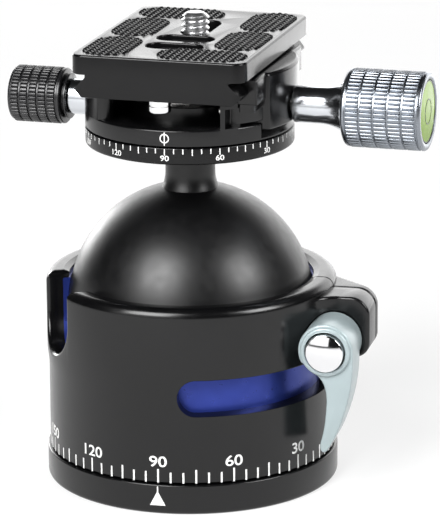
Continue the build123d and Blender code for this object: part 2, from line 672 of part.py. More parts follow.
with BuildPart() as ball_stem:
    with Locations((0, 0, BALL_Z)):
        Sphere(BALL_R)
    with BuildSketch(level_plane(BALL_Z)):
        Circle(NECK_R)
    extrude(amount=NECK_TOP_Z - BALL_Z)
    root = ball_stem.edges().filter_by(GeomType.CIRCLE)
    fillet(root.filter_by(lambda e: abs(e.center().Z - neck_foot_z) < 0.01), 0.5)
    with BuildSketch(level_plane(NECK_TOP_Z)):
        Circle(SPIGOT_R)
    extrude(amount=SPIGOT_LEN)
    # lightening bore with a drilled cone
    with BuildSketch(Plane.XZ):
        outline((0, 0), (BALL_BORE_R, 0), (BALL_BORE_R, BALL_FOOT_Z + BALL_BORE_DEPTH),
                (0, BALL_FOOT_Z + BALL_BORE_DEPTH + BALL_BORE_CONE))
    revolve(axis=Axis.Z, mode=Mode.SUBTRACT)
    with Locations((0, 0, NECK_TOP_Z + SPIGOT_LEN)):
        Hole(STEM_BOLT_R + PRESS_FIT, depth=SPIGOT_LEN + STEM_BOLT_DEPTH)
publish(ball_stem.part, "ball_stem")

# ================================================================ panning disc, hub and cap
pan_washer_z = disc_top_z + SEAM - FACE_GAP - PAN_WASHER_T
cap_z0 = hub_post_z + FACE_GAP
cap_z1 = cap_z0 + HUB_CAP_T

with BuildPart() as scale_disc:
    with BuildSketch(Plane.XZ):
        outline((0, NECK_TOP_Z), (DISC_R - DISC_EDGE, NECK_TOP_Z), (DISC_R, NECK_TOP_Z + DISC_EDGE),
                (DISC_R, disc_top_z), (HUB_POST_R, disc_top_z), (HUB_POST_R, cap_z0), (0, cap_z0))
    revolve(axis=Axis.Z)
    with BuildSketch(level_plane(pan_washer_z)):
        Circle(PAN_WASHER_R1 + FACE_GAP)
        Circle(PAN_WASHER_R0 - FACE_GAP, mode=Mode.SUBTRACT)
    extrude(amount=disc_top_z - pan_washer_z, mode=Mode.SUBTRACT)
    with BuildSketch(level_plane(NECK_TOP_Z)):
        Circle(SPIGOT_R + PRESS_FIT)
    extrude(amount=SPIGOT_LEN + FACE_GAP, mode=Mode.SUBTRACT)
    with Locations((0, 0, cap_z0)):
        CounterBoreHole(STEM_BOLT_R + PRESS_FIT, STEM_BOLT_HEAD_R + 0.2, cap_z0 - stem_head_z)
        with PolarLocations(CAP_SCREW_PITCH_R, 3):
            Hole(CAP_SCREW_R + PRESS_FIT, depth=4.2)
publish(scale_disc.part, "pan_scale_disc")

with BuildPart() as stem_bolt:
    with Locations((0, 0, stem_head_z)):
        Cylinder(STEM_BOLT_HEAD_R, STEM_BOLT_HEAD_H, align=(Align.CENTER, Align.CENTER, Align.MIN))
    with BuildSketch(level_plane(NECK_TOP_Z + SPIGOT_LEN - STEM_BOLT_DEPTH)):
        Circle(STEM_BOLT_R)
    extrude(amount=stem_head_z - NECK_TOP_Z - SPIGOT_LEN + STEM_BOLT_DEPTH)
    with BuildSketch(level_plane(stem_head_z + STEM_BOLT_HEAD_H - 2.0)):
        RegularPolygon(2.9, 6)
    extrude(amount=2.0, mode=Mode.SUBTRACT)
publish(stem_bolt.part, "stem_bolt")

with BuildPart() as disc_washer:
    with BuildSketch(level_plane(pan_washer_z)):
        Circle(PAN_WASHER_R1)
        Circle(PAN_WASHER_R0, mode=Mode.SUBTRACT)
    extrude(amount=PAN_WASHER_T)
publish(disc_washer.part, "clamp_pan_washer")

with BuildPart() as hub_cap:
    with BuildSketch(level_plane(cap_z0)):
        Circle(HUB_CAP_R)
    extrude(amount=HUB_CAP_T)
    with Locations((0, 0, cap_z1)):
        with PolarLocations(CAP_SCREW_PITCH_R, 3):
            CounterSinkHole(CAP_SCREW_R + PRESS_FIT, CAP_SCREW_HEAD_R + PRESS_FIT, HUB_CAP_T)
publish(hub_cap.part, "hub_cap")

with BuildPart() as cap_screws:
    cap_head_h = CAP_SCREW_HEAD_R - CAP_SCREW_R
    with PolarLocations(CAP_SCREW_PITCH_R, 3):
        with Locations((0, 0, cap_z1 - cap_head_h / 2)):
            Cone(CAP_SCREW_R, CAP_SCREW_HEAD_R, cap_head_h)
        with Locations((0, 0, cap_z1)):
            Cylinder(CAP_SCREW_R, CAP_SCREW_LEN, align=(Align.CENTER, Align.CENTER, Align.MAX))
publish(cap_screws.part, "cap_screws")

# ================================================================ clamp body
shelf_x1 = CHANNEL_X + SHELF_W
jaw_x0 = shelf_x1 + JAW_GAP
boss_pocket = BOSS_HALF + POCKET_CLEAR
pivot_point_x = HUB_POST_R + PIVOT_POINT_LEN


def flank(side):
    """Points of a dovetail flank, from the shelf to the jaw top, on the -X or +X side."""
    lip_x = side * (DOVETAIL_HALF + DOVETAIL_GAP)
    return [
        (side * (FOOT_HALF + DOVETAIL_GAP), SHELF_Z),
        (lip_x, DOVETAIL_Z - DOVETAIL_LAND / 2),
        (lip_x, DOVETAIL_Z + DOVETAIL_LAND / 2),
        (side * (NECK_HALF + DOVETAIL_GAP), JAW_TOP_Z),
    ]


with BuildPart() as clamp_body:
    # milled section, then turned to the size of the scale disc
    with BuildSketch(Plane.XZ):
        outline((-DISC_R - 1, CLAMP_Z0), (DISC_R + 1, CLAMP_Z0), (DISC_R + 1, RING_TOP_Z),
                (shelf_x1, RING_TOP_Z), (shelf_x1, SHELF_Z), (CHANNEL_X, SHELF_Z),
                (CHANNEL_X, RING_TOP_Z), (-CHANNEL_X, RING_TOP_Z), (-CHANNEL_X, SHELF_Z),
                *flank(-1), (-DISC_R - 1, JAW_TOP_Z))
    extrude(amount=DISC_R + 1, both=True)
    with Locations((0, 0, CLAMP_Z0)):
        Cylinder(DISC_R, JAW_TOP_Z - CLAMP_Z0, align=(Align.CENTER, Align.CENTER, Align.MIN),
                 mode=Mode.INTERSECT)
    rim = clamp_body.faces().sort_by(Axis.Z)[-1]
    chamfer(rim.edges().filter_by(GeomType.CIRCLE), EDGE)
    # wall that carries the hub post
    with BuildSketch(level_plane(CLAMP_Z0)):
        Circle(BOSS_WALL_R)
    extrude(amount=hub_post_z - CLAMP_Z0)
    with BuildSketch(level_plane(CLAMP_Z0)):
        Circle(HUB_POST_R + RUN_FIT)
    extrude(amount=hub_post_z - CLAMP_Z0, mode=Mode.SUBTRACT)
    # pocket in the ring for the boss of the moving jaw, with a bevel below it
    with BuildSketch(level_plane(POCKET_Z)):
        with Locations(((shelf_x1 + DISC_R + 1) / 2, 0)):
            Rectangle(DISC_R + 1 - shelf_x1, 2 * boss_pocket)
    extrude(amount=RING_TOP_Z - POCKET_Z, mode=Mode.SUBTRACT)
    with BuildSketch(Plane.XZ.rotated((0, 0, -BEVEL_HALF_AZ))):
        outline((DISC_R + 0.1, CLAMP_Z0 + EDGE), (DISC_R + 0.1, POCKET_Z + 0.1),
                (DISC_R - 1.4, POCKET_Z + 0.1))
    revolve(axis=Axis.Z, revolution_arc=2 * BEVEL_HALF_AZ, mode=Mode.SUBTRACT)
    # clamp screw thread and the two guide pin bores
    with BuildSketch(side_plane(CHANNEL_X - CLAMP_SCREW_TAIL - 2 * FACE_GAP, 0, KNOB_Z)):
        Circle(CLAMP_SCREW_R + RUN_FIT)
    extrude(amount=SHELF_W + CLAMP_SCREW_TAIL + 1, mode=Mode.SUBTRACT)
    for guide_y in (-GUIDE_Y, GUIDE_Y):
        with BuildSketch(side_plane(CHANNEL_X - 1, guide_y, GUIDE_Z)):
            Circle(GUIDE_R + RUN_FIT)
        extrude(amount=SHELF_W + 2, mode=Mode.SUBTRACT)
    # bores of the pan lock
    with BuildSketch(side_plane(-DISC_R - 1, 0, PIVOT_Z)):
        Circle(BUSHING_R + PRESS_FIT)
    extrude(amount=DISC_R + 1 - BUSHING_X0, mode=Mode.SUBTRACT)
    with BuildSketch(side_plane(-BUSHING_X0 - 1, 0, PIVOT_Z)):
        Circle(PIVOT_SCREW_R + RUN_FIT)
    extrude(amount=BUSHING_X0 + 1 - pivot_point_x + FACE_GAP, mode=Mode.SUBTRACT)
    with BuildSketch(side_plane(-pivot_point_x - 1, 0, PIVOT_Z)):
        Circle(PIVOT_POINT_R + RUN_FIT)
    extrude(amount=PIVOT_POINT_LEN + 2, mode=Mode.SUBTRACT)
publish(clamp_body.part, "clamp_body")

# ================================================================ moving jaw
with BuildPart() as moving_jaw:
    # lower wings follow the turned body
    with BuildSketch(level_plane(WING_Z)):
        with Locations(((jaw_x0 + DISC_R) / 2, 0)):
            Rectangle(DISC_R - jaw_x0, 2 * JAW_HALF)
        Circle(DISC_R, mode=Mode.INTERSECT)
    extrude(amount=WING_STEP_Z - WING_Z)
    # straight bar along the plate
    with BuildSketch(level_plane(WING_STEP_Z)):
        with Locations(((jaw_x0 + JAW_OUT_X) / 2, 0)):
            Rectangle(JAW_OUT_X - jaw_x0, 2 * JAW_HALF)
    extrude(amount=JAW_TOP_Z - WING_STEP_Z)
    # boss round the clamp screw
    with BuildSketch(level_plane(BOSS_BOTTOM_Z)):
        with Locations(((jaw_x0 + BOSS_R) / 2, 0)):
            Rectangle(BOSS_R - jaw_x0, 2 * BOSS_HALF)
        Circle(BOSS_R, mode=Mode.INTERSECT)
    extrude(amount=JAW_TOP_Z - BOSS_BOTTOM_Z)
    top = moving_jaw.faces().sort_by(Axis.Z)[-1]
    outside = top.edges().filter_by(lambda e: e.center().X > JAW_OUT_X - 2)
    chamfer(outside, 0.7)
    with BuildSketch(Plane.XZ):
        outline(*flank(1), (NECK_HALF + DOVETAIL_GAP, JAW_TOP_Z + 1), (jaw_x0 - 1, JAW_TOP_Z + 1),
                (jaw_x0 - 1, SHELF_Z))
    extrude(amount=JAW_HALF + 1, both=True, mode=Mode.SUBTRACT)
    with BuildSketch(side_plane(jaw_x0, 0, KNOB_Z)):
        Circle(CLAMP_SCREW_R + RUN_FIT)
    extrude(amount=BOSS_R - jaw_x0 + 1, mode=Mode.SUBTRACT)
    with BuildSketch(side_plane(jaw_x0, 0, KNOB_Z)):
        Circle(RETAINER_R + 0.15)
    extrude(amount=RETAINER_T + 3 * FACE_GAP, mode=Mode.SUBTRACT)
    for guide_y in (-GUIDE_Y, GUIDE_Y):
        with BuildSketch(side_plane(jaw_x0, guide_y, GUIDE_Z)):
            Circle(GUIDE_R + PRESS_FIT)
        extrude(amount=GUIDE_GRIP, mode=Mode.SUBTRACT)
publish(moving_jaw.part, "moving_jaw")

with BuildPart() as jaw_guide_pins:
    for guide_y in (-GUIDE_Y, GUIDE_Y):
        with BuildSketch(side_plane(jaw_x0 + GUIDE_GRIP - GUIDE_LEN, guide_y, GUIDE_Z)):
            Circle(GUIDE_R)
        extrude(amount=GUIDE_LEN)
publish(jaw_guide_pins.part, "jaw_guide_pins")

# ================================================================ clamp knob
knob_axis = Axis((0, 0, KNOB_Z), (1, 0, 0))
neck_x1 = KNOB_X0 - FACE_GAP
screw_x0 = CHANNEL_X - CLAMP_SCREW_TAIL
screw_x1 = KNOB_X0 + CLAMP_SCREW_GRIP
retainer_x = jaw_x0 + 2 * FACE_GAP


def knurled_grip(x0, x1, radius, band_x0, band_x1, edge):
    """Side view of a turned grip whose knurl is parted into bands, from x0 to x1, axis at 0."""
    points = [(x0, 0), (x0, radius - edge), (x0 + edge, radius)]
    pitch = (band_x1 - band_x0) / KNOB_BANDS
    for index in range(KNOB_BANDS + 1):
        groove_x = band_x0 + index * pitch - BAND_GROOVE_W / 2
        points += [(groove_x, radius), (groove_x, radius - BAND_GROOVE_D),
                   (groove_x + BAND_GROOVE_W, radius - BAND_GROOVE_D),
                   (groove_x + BAND_GROOVE_W, radius)]
    return points + [(x1 - edge, radius), (x1, radius - edge), (x1, 0)]


with BuildPart() as clamp_screw:
    with BuildSketch(side_plane(screw_x0, 0, KNOB_Z)):
        Circle(CLAMP_SCREW_R)
    extrude(amount=screw_x1 - screw_x0)
publish(clamp_screw.part, "clamp_screw")

with BuildPart() as screw_retaining_ring:
    with BuildSketch(side_plane(retainer_x, 0, KNOB_Z)):
        Circle(RETAINER_R)
        Circle(CLAMP_SCREW_R + PRESS_FIT, mode=Mode.SUBTRACT)
    extrude(amount=RETAINER_T)
publish(screw_retaining_ring.part, "screw_retaining_ring")

with BuildPart() as clamp_knob_neck:
    with BuildSketch(Plane.XZ.shift_origin((0, 0, KNOB_Z))):
        with BuildLine():
            Polyline((FLARE_X0, CLAMP_NECK_R), (CLAMP_NECK_X0 + EDGE, CLAMP_NECK_R),
                     (CLAMP_NECK_X0, CLAMP_NECK_R - EDGE), (CLAMP_NECK_X0, CLAMP_SCREW_R + PRESS_FIT),
                     (neck_x1, CLAMP_SCREW_R + PRESS_FIT), (neck_x1, FLARE_R - 0.7),
                     (neck_x1 - 0.4, FLARE_R - 0.7), (neck_x1 - 0.4, FLARE_R))
            Spline((neck_x1 - 0.4, FLARE_R), (FLARE_X0, CLAMP_NECK_R), tangents=((-1, -0.9), (-1, 0)))
        make_face()
    revolve(axis=knob_axis)
publish(clamp_knob_neck.part, "clamp_knob_neck")

with BuildPart() as clamp_knob:
    with BuildSketch(Plane.XZ.shift_origin((0, 0, KNOB_Z))):
        outline(*knurled_grip(KNOB_X0, KNOB_X1, KNOB_R, KNOB_BAND_X0, KNOB_BAND_X1, 0.6))
    revolve(axis=knob_axis)
    with BuildSketch(side_plane(KNOB_X1 - VIAL_H, 0, KNOB_Z)):
        Circle(VIAL_R + PRESS_FIT)
    extrude(amount=VIAL_H, mode=Mode.SUBTRACT)
    with BuildSketch(side_plane(KNOB_X0, 0, KNOB_Z)):
        Circle(CLAMP_SCREW_R + PRESS_FIT)
    extrude(amount=CLAMP_SCREW_GRIP, mode=Mode.SUBTRACT)
publish(clamp_knob.part, "clamp_knob")

with BuildPart() as bubble_vial:
    with BuildSketch(side_plane(KNOB_X1 - VIAL_H, 0, KNOB_Z)):
        Circle(VIAL_R)
    extrude(amount=VIAL_H - 0.1)
    chamfer(bubble_vial.faces().sort_by(Axis.X)[-1].edges(), EDGE)
publish(bubble_vial.part, "bubble_vial")

# ================================================================ clamp pan lock
pivot_axis = Axis((0, 0, PIVOT_Z), (-1, 0, 0))
pivot_screw_x = SIDE_KNOB_X1 - PIVOT_SCREW_GRIP
pivot_tip_x = HUB_POST_R + FACE_GAP

with BuildPart() as clamp_lock_bushing:
    with BuildSketch(side_plane(-BUSHING_X, 0, PIVOT_Z)):
        Circle(BUSHING_R)
        Circle(PIVOT_SCREW_R + RUN_FIT, mode=Mode.SUBTRACT)
    extrude(amount=BUSHING_X - BUSHING_X0)
publish(clamp_lock_bushing.part, "clamp_lock_bushing")

with BuildPart() as clamp_lock_screw:
    with BuildSketch(Plane.XZ.shift_origin((0, 0, PIVOT_Z))):
        outline((-pivot_screw_x, 0), (-pivot_screw_x, PIVOT_SCREW_R), (-pivot_point_x, PIVOT_SCREW_R),
                (-pivot_point_x, PIVOT_POINT_R), (-pivot_tip_x, PIVOT_POINT_R), (-pivot_tip_x, 0))
    revolve(axis=pivot_axis)
publish(clamp_lock_screw.part, "clamp_lock_screw")

disc_x = SIDE_KNOB_X0 + SIDE_DISC_H
flange_x0 = disc_x + SIDE_GROOVE_W
flange_x1 = flange_x0 + SIDE_FLANGE_H
with BuildPart() as clamp_lock_knob:
    with BuildSketch(Plane.XZ.shift_origin((0, 0, PIVOT_Z)).rotated((0, 0, 180))):
        outline(*knurled_grip(SIDE_BAND_X0 - SIDE_FRONT_RIM, SIDE_KNOB_X1, SIDE_KNOB_R,
                              SIDE_BAND_X0, SIDE_BAND_X1, EDGE))
        outline((SIDE_KNOB_X0, 0), (SIDE_KNOB_X0, SIDE_DISC_R), (disc_x, SIDE_DISC_R),
                (disc_x, BUSHING_R), (flange_x0, BUSHING_R), (flange_x0, SIDE_FLANGE_R),
                (flange_x1, SIDE_FLANGE_R), (flange_x1, BUSHING_R), (SIDE_BAND_X0, BUSHING_R),
                (SIDE_BAND_X0, 0))
    revolve(axis=pivot_axis)
    with BuildSketch(side_plane(-pivot_screw_x, 0, PIVOT_Z)):
        Circle(PIVOT_SCREW_R + PRESS_FIT)
    extrude(amount=pivot_screw_x - SIDE_KNOB_X0 + 1, mode=Mode.SUBTRACT)
publish(clamp_lock_knob.part, "clamp_lock_knob")

# ================================================================ quick-release plate
screw_slot_r = CAM_SCREW_R + SCREW_SLOT_GAP
pad_floor_z = PLATE_Z1 - PAD_DEPTH
pad_x = PLATE_W / 2 - PAD_EDGE - PAD_W / 2
pad_y_end = PLATE_L / 2 - PAD_EDGE
cross_x = PLATE_W / 2 - PAD_EDGE - CROSS_PAD_L / 2
cross_y = pad_y_end - PAD_W / 2
corner_y = pad_y_end - PAD_L / 2
middle_y = pad_y_end - PAD_W - PAD_SPACE - PAD_L / 2


def pads(fit):
    """The six pads of the plate, each one turned half round the plate centre from another."""
    for half in (1, -1):
        with Locations((-half * cross_x, PLATE_Y + half * cross_y)):
            RectangleRounded(CROSS_PAD_L - 2 * fit, PAD_W - 2 * fit, PAD_CORNER - fit)
        with Locations((half * pad_x, PLATE_Y + half * corner_y),
                       (-half * pad_x, PLATE_Y + half * middle_y)):
            RectangleRounded(PAD_W - 2 * fit, PAD_L - 2 * fit, PAD_CORNER - fit)


with BuildPart() as quick_release_plate:
    # flange and the dovetail foot under it
    with BuildSketch(level_plane(FLANGE_Z)):
        with Locations((0, PLATE_Y)):
            RectangleRounded(PLATE_W, PLATE_L, PLATE_CORNER)
    extrude(amount=PLATE_Z1 - FLANGE_Z)
    chamfer(quick_release_plate.faces().sort_by(Axis.Z)[-1].edges(), 0.4)
    chamfer(quick_release_plate.faces().sort_by(Axis.Z)[0].edges(), EDGE)
    with BuildSketch(Plane.XZ.offset(-PLATE_Y)):
        outline((-FOOT_HALF, PLATE_Z0), (FOOT_HALF, PLATE_Z0),
                (DOVETAIL_HALF, DOVETAIL_Z - DOVETAIL_LAND / 2),
                (DOVETAIL_HALF, DOVETAIL_Z + DOVETAIL_LAND / 2), (NECK_HALF, JAW_TOP_Z),
                (NECK_HALF, FLANGE_Z + 1), (-NECK_HALF, FLANGE_Z + 1), (-NECK_HALF, JAW_TOP_Z),
                (-DOVETAIL_HALF, DOVETAIL_Z + DOVETAIL_LAND / 2),
                (-DOVETAIL_HALF, DOVETAIL_Z - DOVETAIL_LAND / 2))
    extrude(amount=PLATE_L / 2 - EDGE, both=True)
    # pocket for the screw head
    with BuildSketch(level_plane(PLATE_Z0)):
        with Locations((0, (POCKET_Y0 + POCKET_Y1) / 2)):
            RectangleRounded(POCKET_W, POCKET_Y1 - POCKET_Y0, 3.5)
    extrude(amount=WEB_Z - PLATE_Z0, mode=Mode.SUBTRACT)
    # slot the camera screw slides in
    with BuildSketch(level_plane(PLATE_Z0)):
        with Locations((0, SCREW_Y + SCREW_TRAVEL / 2)):
            SlotCenterToCenter(SCREW_TRAVEL, 2 * screw_slot_r, rotation=90)
    extrude(amount=PLATE_Z1 - PLATE_Z0, mode=Mode.SUBTRACT)
    # two stepped strap slots
    for strap_y in STRAP_Y:
        with BuildSketch(level_plane(PLATE_Z1 - STRAP_LEDGE_DEPTH)):
            with Locations((0, strap_y)):
                SlotOverall(STRAP_W, STRAP_H)
        extrude(amount=STRAP_LEDGE_DEPTH, mode=Mode.SUBTRACT)
        with BuildSketch(level_plane(PLATE_Z0)):
            with Locations((0, strap_y)):
                SlotOverall(STRAP_W - 2 * STRAP_LEDGE, STRAP_H - 2 * STRAP_LEDGE)
        extrude(amount=PLATE_Z1 - PLATE_Z0, mode=Mode.SUBTRACT)
    # recesses for the pads
    with BuildSketch(level_plane(pad_floor_z)):
        pads(0)
    extrude(amount=PAD_DEPTH, mode=Mode.SUBTRACT)
    # holes for the stop pins
    with BuildSketch(level_plane(PLATE_Z0)):
        with Locations((0, PLATE_Y - PIN_Y), (0, PLATE_Y + PIN_Y)):
            Circle(PIN_SHANK_R + PRESS_FIT)
    extrude(amount=PIN_SHANK_LEN + 0.2, mode=Mode.SUBTRACT)
publish(quick_release_plate.part, "quick_release_plate")

with BuildPart() as rubber_pads:
    with BuildSketch(level_plane(pad_floor_z)):
        pads(PAD_FIT)
    extrude(amount=PAD_DEPTH + PAD_PROUD)
    chamfer(rubber_pads.faces().filter_by(Axis.Z).group_by(Axis.Z)[-1].edges(), PAD_PROUD)
publish(rubber_pads.part, "rubber_pads")

with BuildPart() as plate_stop_pins:
    for pin_y in (PLATE_Y - PIN_Y, PLATE_Y + PIN_Y):
        with Locations((0, pin_y, PLATE_Z0)):
            Cylinder(PIN_R, PIN_H, align=(Align.CENTER, Align.CENTER, Align.MAX))
            Cylinder(PIN_SHANK_R, PIN_SHANK_LEN, align=(Align.CENTER, Align.CENTER, Align.MIN))
    chamfer(plate_stop_pins.faces().filter_by(Axis.Z).group_by(Axis.Z)[0].edges(), PIN_EDGE)
publish(plate_stop_pins.part, "plate_stop_pins")

# ================================================================ camera screw
washer_top_z = WEB_Z - FACE_GAP
head_top_z = washer_top_z - CAM_WASHER_T
thread_z = PLATE_Z1 + CAM_RELIEF_OUT

with BuildPart() as screw_washer:
    with BuildSketch(level_plane(head_top_z)):
        with Locations((0, SCREW_Y)):
            Circle(CAM_HEAD_R)
            Circle(CAM_SCREW_R + RUN_FIT, mode=Mode.SUBTRACT)
    extrude(amount=CAM_WASHER_T)
publish(screw_washer.part, "screw_washer")

with BuildPart() as camera_screw:
    with Locations((0, SCREW_Y, head_top_z - FACE_GAP)):
        Cylinder(CAM_HEAD_R, CAM_HEAD_H, align=(Align.CENTER, Align.CENTER, Align.MAX))
    chamfer(camera_screw.edges().group_by(Axis.Z)[0], 0.4)
    with BuildSketch(level_plane(head_top_z - FACE_GAP)):
        with Locations((0, SCREW_Y)):
            Circle(CAM_RELIEF_R)
    extrude(amount=thread_z - head_top_z + FACE_GAP)
    with BuildSketch(level_plane(thread_z)):
        with Locations((0, SCREW_Y)):
            Circle(CAM_SCREW_R)
    extrude(amount=CAM_SCREW_TOP_Z - thread_z)
    chamfer(camera_screw.faces().sort_by(Axis.Z)[-1].edges(), CAM_SCREW_EDGE)
    # coin slot in the head
    with BuildSketch(level_plane(head_top_z - FACE_GAP - CAM_HEAD_H)):
        with Locations((0, SCREW_Y)):
            Rectangle(2 * CAM_HEAD_R + 1, 1.4)
    extrude(amount=1.4, mode=Mode.SUBTRACT)
publish(camera_screw.part, "camera_screw")
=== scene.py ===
"""Looks of the tripod ball head: its detailed pieces, their finishes, the stage, light and camera.

Shapes are drawn in millimetres, in the same frame as the CAD, and become metres when a mesh
is made. Azimuths are counted from -Y towards +X.
"""
from math import acos, asin, atan2, ceil, cos, pi, radians, sin, sqrt, tan

import bmesh
import bpy
from mathutils import Matrix, Vector


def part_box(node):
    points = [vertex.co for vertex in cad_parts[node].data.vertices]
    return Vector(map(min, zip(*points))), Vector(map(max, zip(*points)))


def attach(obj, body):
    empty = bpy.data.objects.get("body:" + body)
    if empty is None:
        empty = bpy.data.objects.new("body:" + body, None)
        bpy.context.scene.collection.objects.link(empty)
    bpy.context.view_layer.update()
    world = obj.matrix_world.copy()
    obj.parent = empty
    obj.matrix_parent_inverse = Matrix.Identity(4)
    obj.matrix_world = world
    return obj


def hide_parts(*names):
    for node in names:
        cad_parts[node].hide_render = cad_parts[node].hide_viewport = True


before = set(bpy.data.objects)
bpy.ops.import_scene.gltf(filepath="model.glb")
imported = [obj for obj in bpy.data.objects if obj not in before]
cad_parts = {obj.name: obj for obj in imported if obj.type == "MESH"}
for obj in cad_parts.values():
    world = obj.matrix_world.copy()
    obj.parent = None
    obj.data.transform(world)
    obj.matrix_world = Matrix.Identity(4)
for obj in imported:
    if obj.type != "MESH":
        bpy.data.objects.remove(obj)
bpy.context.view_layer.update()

MM = 0.001
scene = bpy.context.scene


def node_box(node):
    """Lowest and highest corner of a CAD node, in millimetres."""
    low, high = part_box(node)
    return low / MM, high / MM


# ---- sizes read from the frame
base_high = node_box("base_disc")[1]
house_low, house_high = node_box("ball_housing")
cup_low, cup_high = node_box("ball_cup")
ball_high = node_box("ball_stem")[1]
disc_low, disc_high = node_box("pan_scale_disc")
cap_low, cap_high = node_box("hub_cap")
clamp_low, clamp_high = node_box("clamp_body")
jaw_low, jaw_high = node_box("moving_jaw")
plate_low, plate_high = node_box("quick_release_plate")
pads_low, pads_high = node_box("rubber_pads")
knob_low, knob_high = node_box("clamp_knob")
neck_low, neck_high = node_box("clamp_knob_neck")
vial_low, vial_high = node_box("bubble_vial")
side_low, side_high = node_box("clamp_lock_knob")
bushing_low, bushing_high = node_box("clamp_lock_bushing")
pin_low, pin_high = node_box("plate_stop_pins")
screw_low, screw_high = node_box("camera_screw")

# ---- common sizes
FIT = 0.02
BORE_GAP = 0.05
MARK_PROUD = 0.02
MARK_SUNK = 0.05
SEGMENTS = 256
ARC_STEPS = 6

# ---- base and housing
MARK_AZ = 3.16
LUG_AZ = MARK_AZ + 90
BASE_R = base_high.x - 0.03          # leaves room for the raised pointer inside the CAD box
BASE_H = 6.9
BUSH_R = 7.5
BUSH_FLANGE_R = 9.5
BUSH_FLANGE_H = 1.5
TRIPOD_THREAD_R = 4.7625
TRIPOD_ROOT_R = 4.05
TRIPOD_PITCH = 1.5875
COLLAR_R = -house_low.y
HOUSE_R = COLLAR_R - 0.35
HOUSE_Z = house_low.z
RIM_Z = house_high.z
RIM_ROUND = 2.2
STEP_Z0 = 27.0
STEP_Z1 = 30.0
BORE_R = cup_high.x + FIT
CUP_Z0 = cup_low.z
CUP_INNER_R = 24.8
SEAT_R = 24.6
SEAT_Z = 15.4
DISH_R = 19.4
DISH_Z = 9.2
SPINDLE_R = 13.45
LIP_R = 27.75
LIP_Z = 45.9
BALL_R = ball_high.x
BALL_Z = 39.9
BALL_BORE_R = 11.0
SLOT_AZ0 = 11.0
SLOT_AZ1 = LUG_AZ + 8.0
SLOT_Z0 = 22.75
SLOT_Z1 = 31.1
SPLIT_W = 0.5
SPLIT_EDGE = 0.35
NOTCH_AZ = -56.0
NOTCH_HALF = 8.25
NOTCH_Z = 31.0
LUG_X = 42.9
LUG_Z0 = 31.4
LUG_Z1 = 45.4
LUG_ROUND = 3.5
EAR_FRONT = 8.0
EAR_REAR = 12.2
EAR_REAR_TIP = 2.5
EAR_BLEND = 6.0
EAR_EDGE = 0.6
WALL_R = 30.9

# ---- lever, button and base lock
BOLT_X = 35.2
BOLT_Z = 35.9
BOLT_R = 3.0
NUT_R = 4.62
NUT_FLOOR = 4.4
WASHER_R = 5.4
HUB_R = 6.2
HUB_BACK = 8.65
LEVER_FRONT = 19.5
ARM_BACK = 11.0
ARM_LEN = 23.4
RING_H = 0.7
RECESS_R = 4.6
BUTTON_R = 4.3
BUTTON_LEN = 4.4
BUTTON_FRONT = 21.9
LOCK_AZ = MARK_AZ + 180
LOCK_Z = 12.9
LOCK_SCREW_R = 2.0
LOCK_KNOB_BACK = 34.15
LOCK_KNOB_R = 6.2
LOCK_KNOB_LEN = 8.5

# ---- neck, disc and clamp
NECK_R = 5.65
NECK_TOP_Z = disc_low.z
DISC_R = disc_high.x
DISC_H = 3.8
HUB_POST_R = 10.0
CAP_SCREWS_R = 7.9
CLAMP_Z0 = clamp_low.z
RING_TOP_Z = CLAMP_Z0 + 3.7
RING_BORE_R = HUB_POST_R + 0.06
JAW_TOP_Z = clamp_high.z
CHANNEL_X = 13.0
SHELF_X = 16.3
BOSS_WALL_R = 14.0
BOSS_WALL_Z = 88.6
JAW_HALF = jaw_high.y
JAW_X0 = jaw_low.x
JAW_OUT_X = 21.1
JAW_STEP_BACK = 1.2
BOSS_R = jaw_high.x
BOSS_HALF = 11.7
WING_Z = 86.4
WING_STEP_Z = 89.8
WING_R = 23.6
BAR_Z = 91.3
POST_X = 13.9
OPEN_Y = 15.5
OPEN_Z0 = 85.7
OPEN_Z1 = 90.1
POCKET_Z = 83.9
FLANK_GAP = 0.12
CLAMP_SCREW_R = 2.5
KNOB_Z = (knob_low.z + knob_high.z) / 2
KNOB_R = (knob_high.z - knob_low.z) / 2
VIAL_R = (vial_high.z - vial_low.z) / 2
SIDE_Z = (side_low.z + side_high.z) / 2
SIDE_KNOB_R = (side_high.z - side_low.z) / 2
BUSHING_R = (bushing_high.z - bushing_low.z) / 2

# ---- plate
PLATE_Y = (plate_low.y + plate_high.y) / 2
PLATE_W = plate_high.x - plate_low.x
PLATE_L = plate_high.y - plate_low.y
PLATE_Z0 = plate_low.z
PLATE_Z1 = plate_high.z
SHELF_Z = PLATE_Z0 - 0.05
FLANGE_Z = 97.5
DOVETAIL_HALF = 19.0
DOVETAIL_Z = 94.1
NECK_HALF = 16.2
FOOT_HALF = 17.2
SCREW_Y = 4.9
CAMERA_THREAD_R = 3.175
CAMERA_ROOT_R = 2.5
CAMERA_PITCH = 1.27
SCREW_SLOT_R = 3.325
STRAPS_Y = (-2.7, -11.0)
PAD_CORNER = 5.2
PINS_Y = (PLATE_Y - 24.4, PLATE_Y + 24.4)
PIN_R = 2.5
PIN_HOLE_R = 1.62


# ==== outlines
def arc(radius, first, last, steps, centre=(0, 0)):
    """Points of an arc between two angles, with both ends."""
    turns = [first + (last - first) * step / steps for step in range(steps + 1)]
    return [(centre[0] + radius * cos(t), centre[1] + radius * sin(t)) for t in turns]


def quarter(steps, first=1):
    """Angles of a quarter turn, from step number first to 90 degrees."""
    return [pi / 2 * step / steps for step in range(first, steps + 1)]


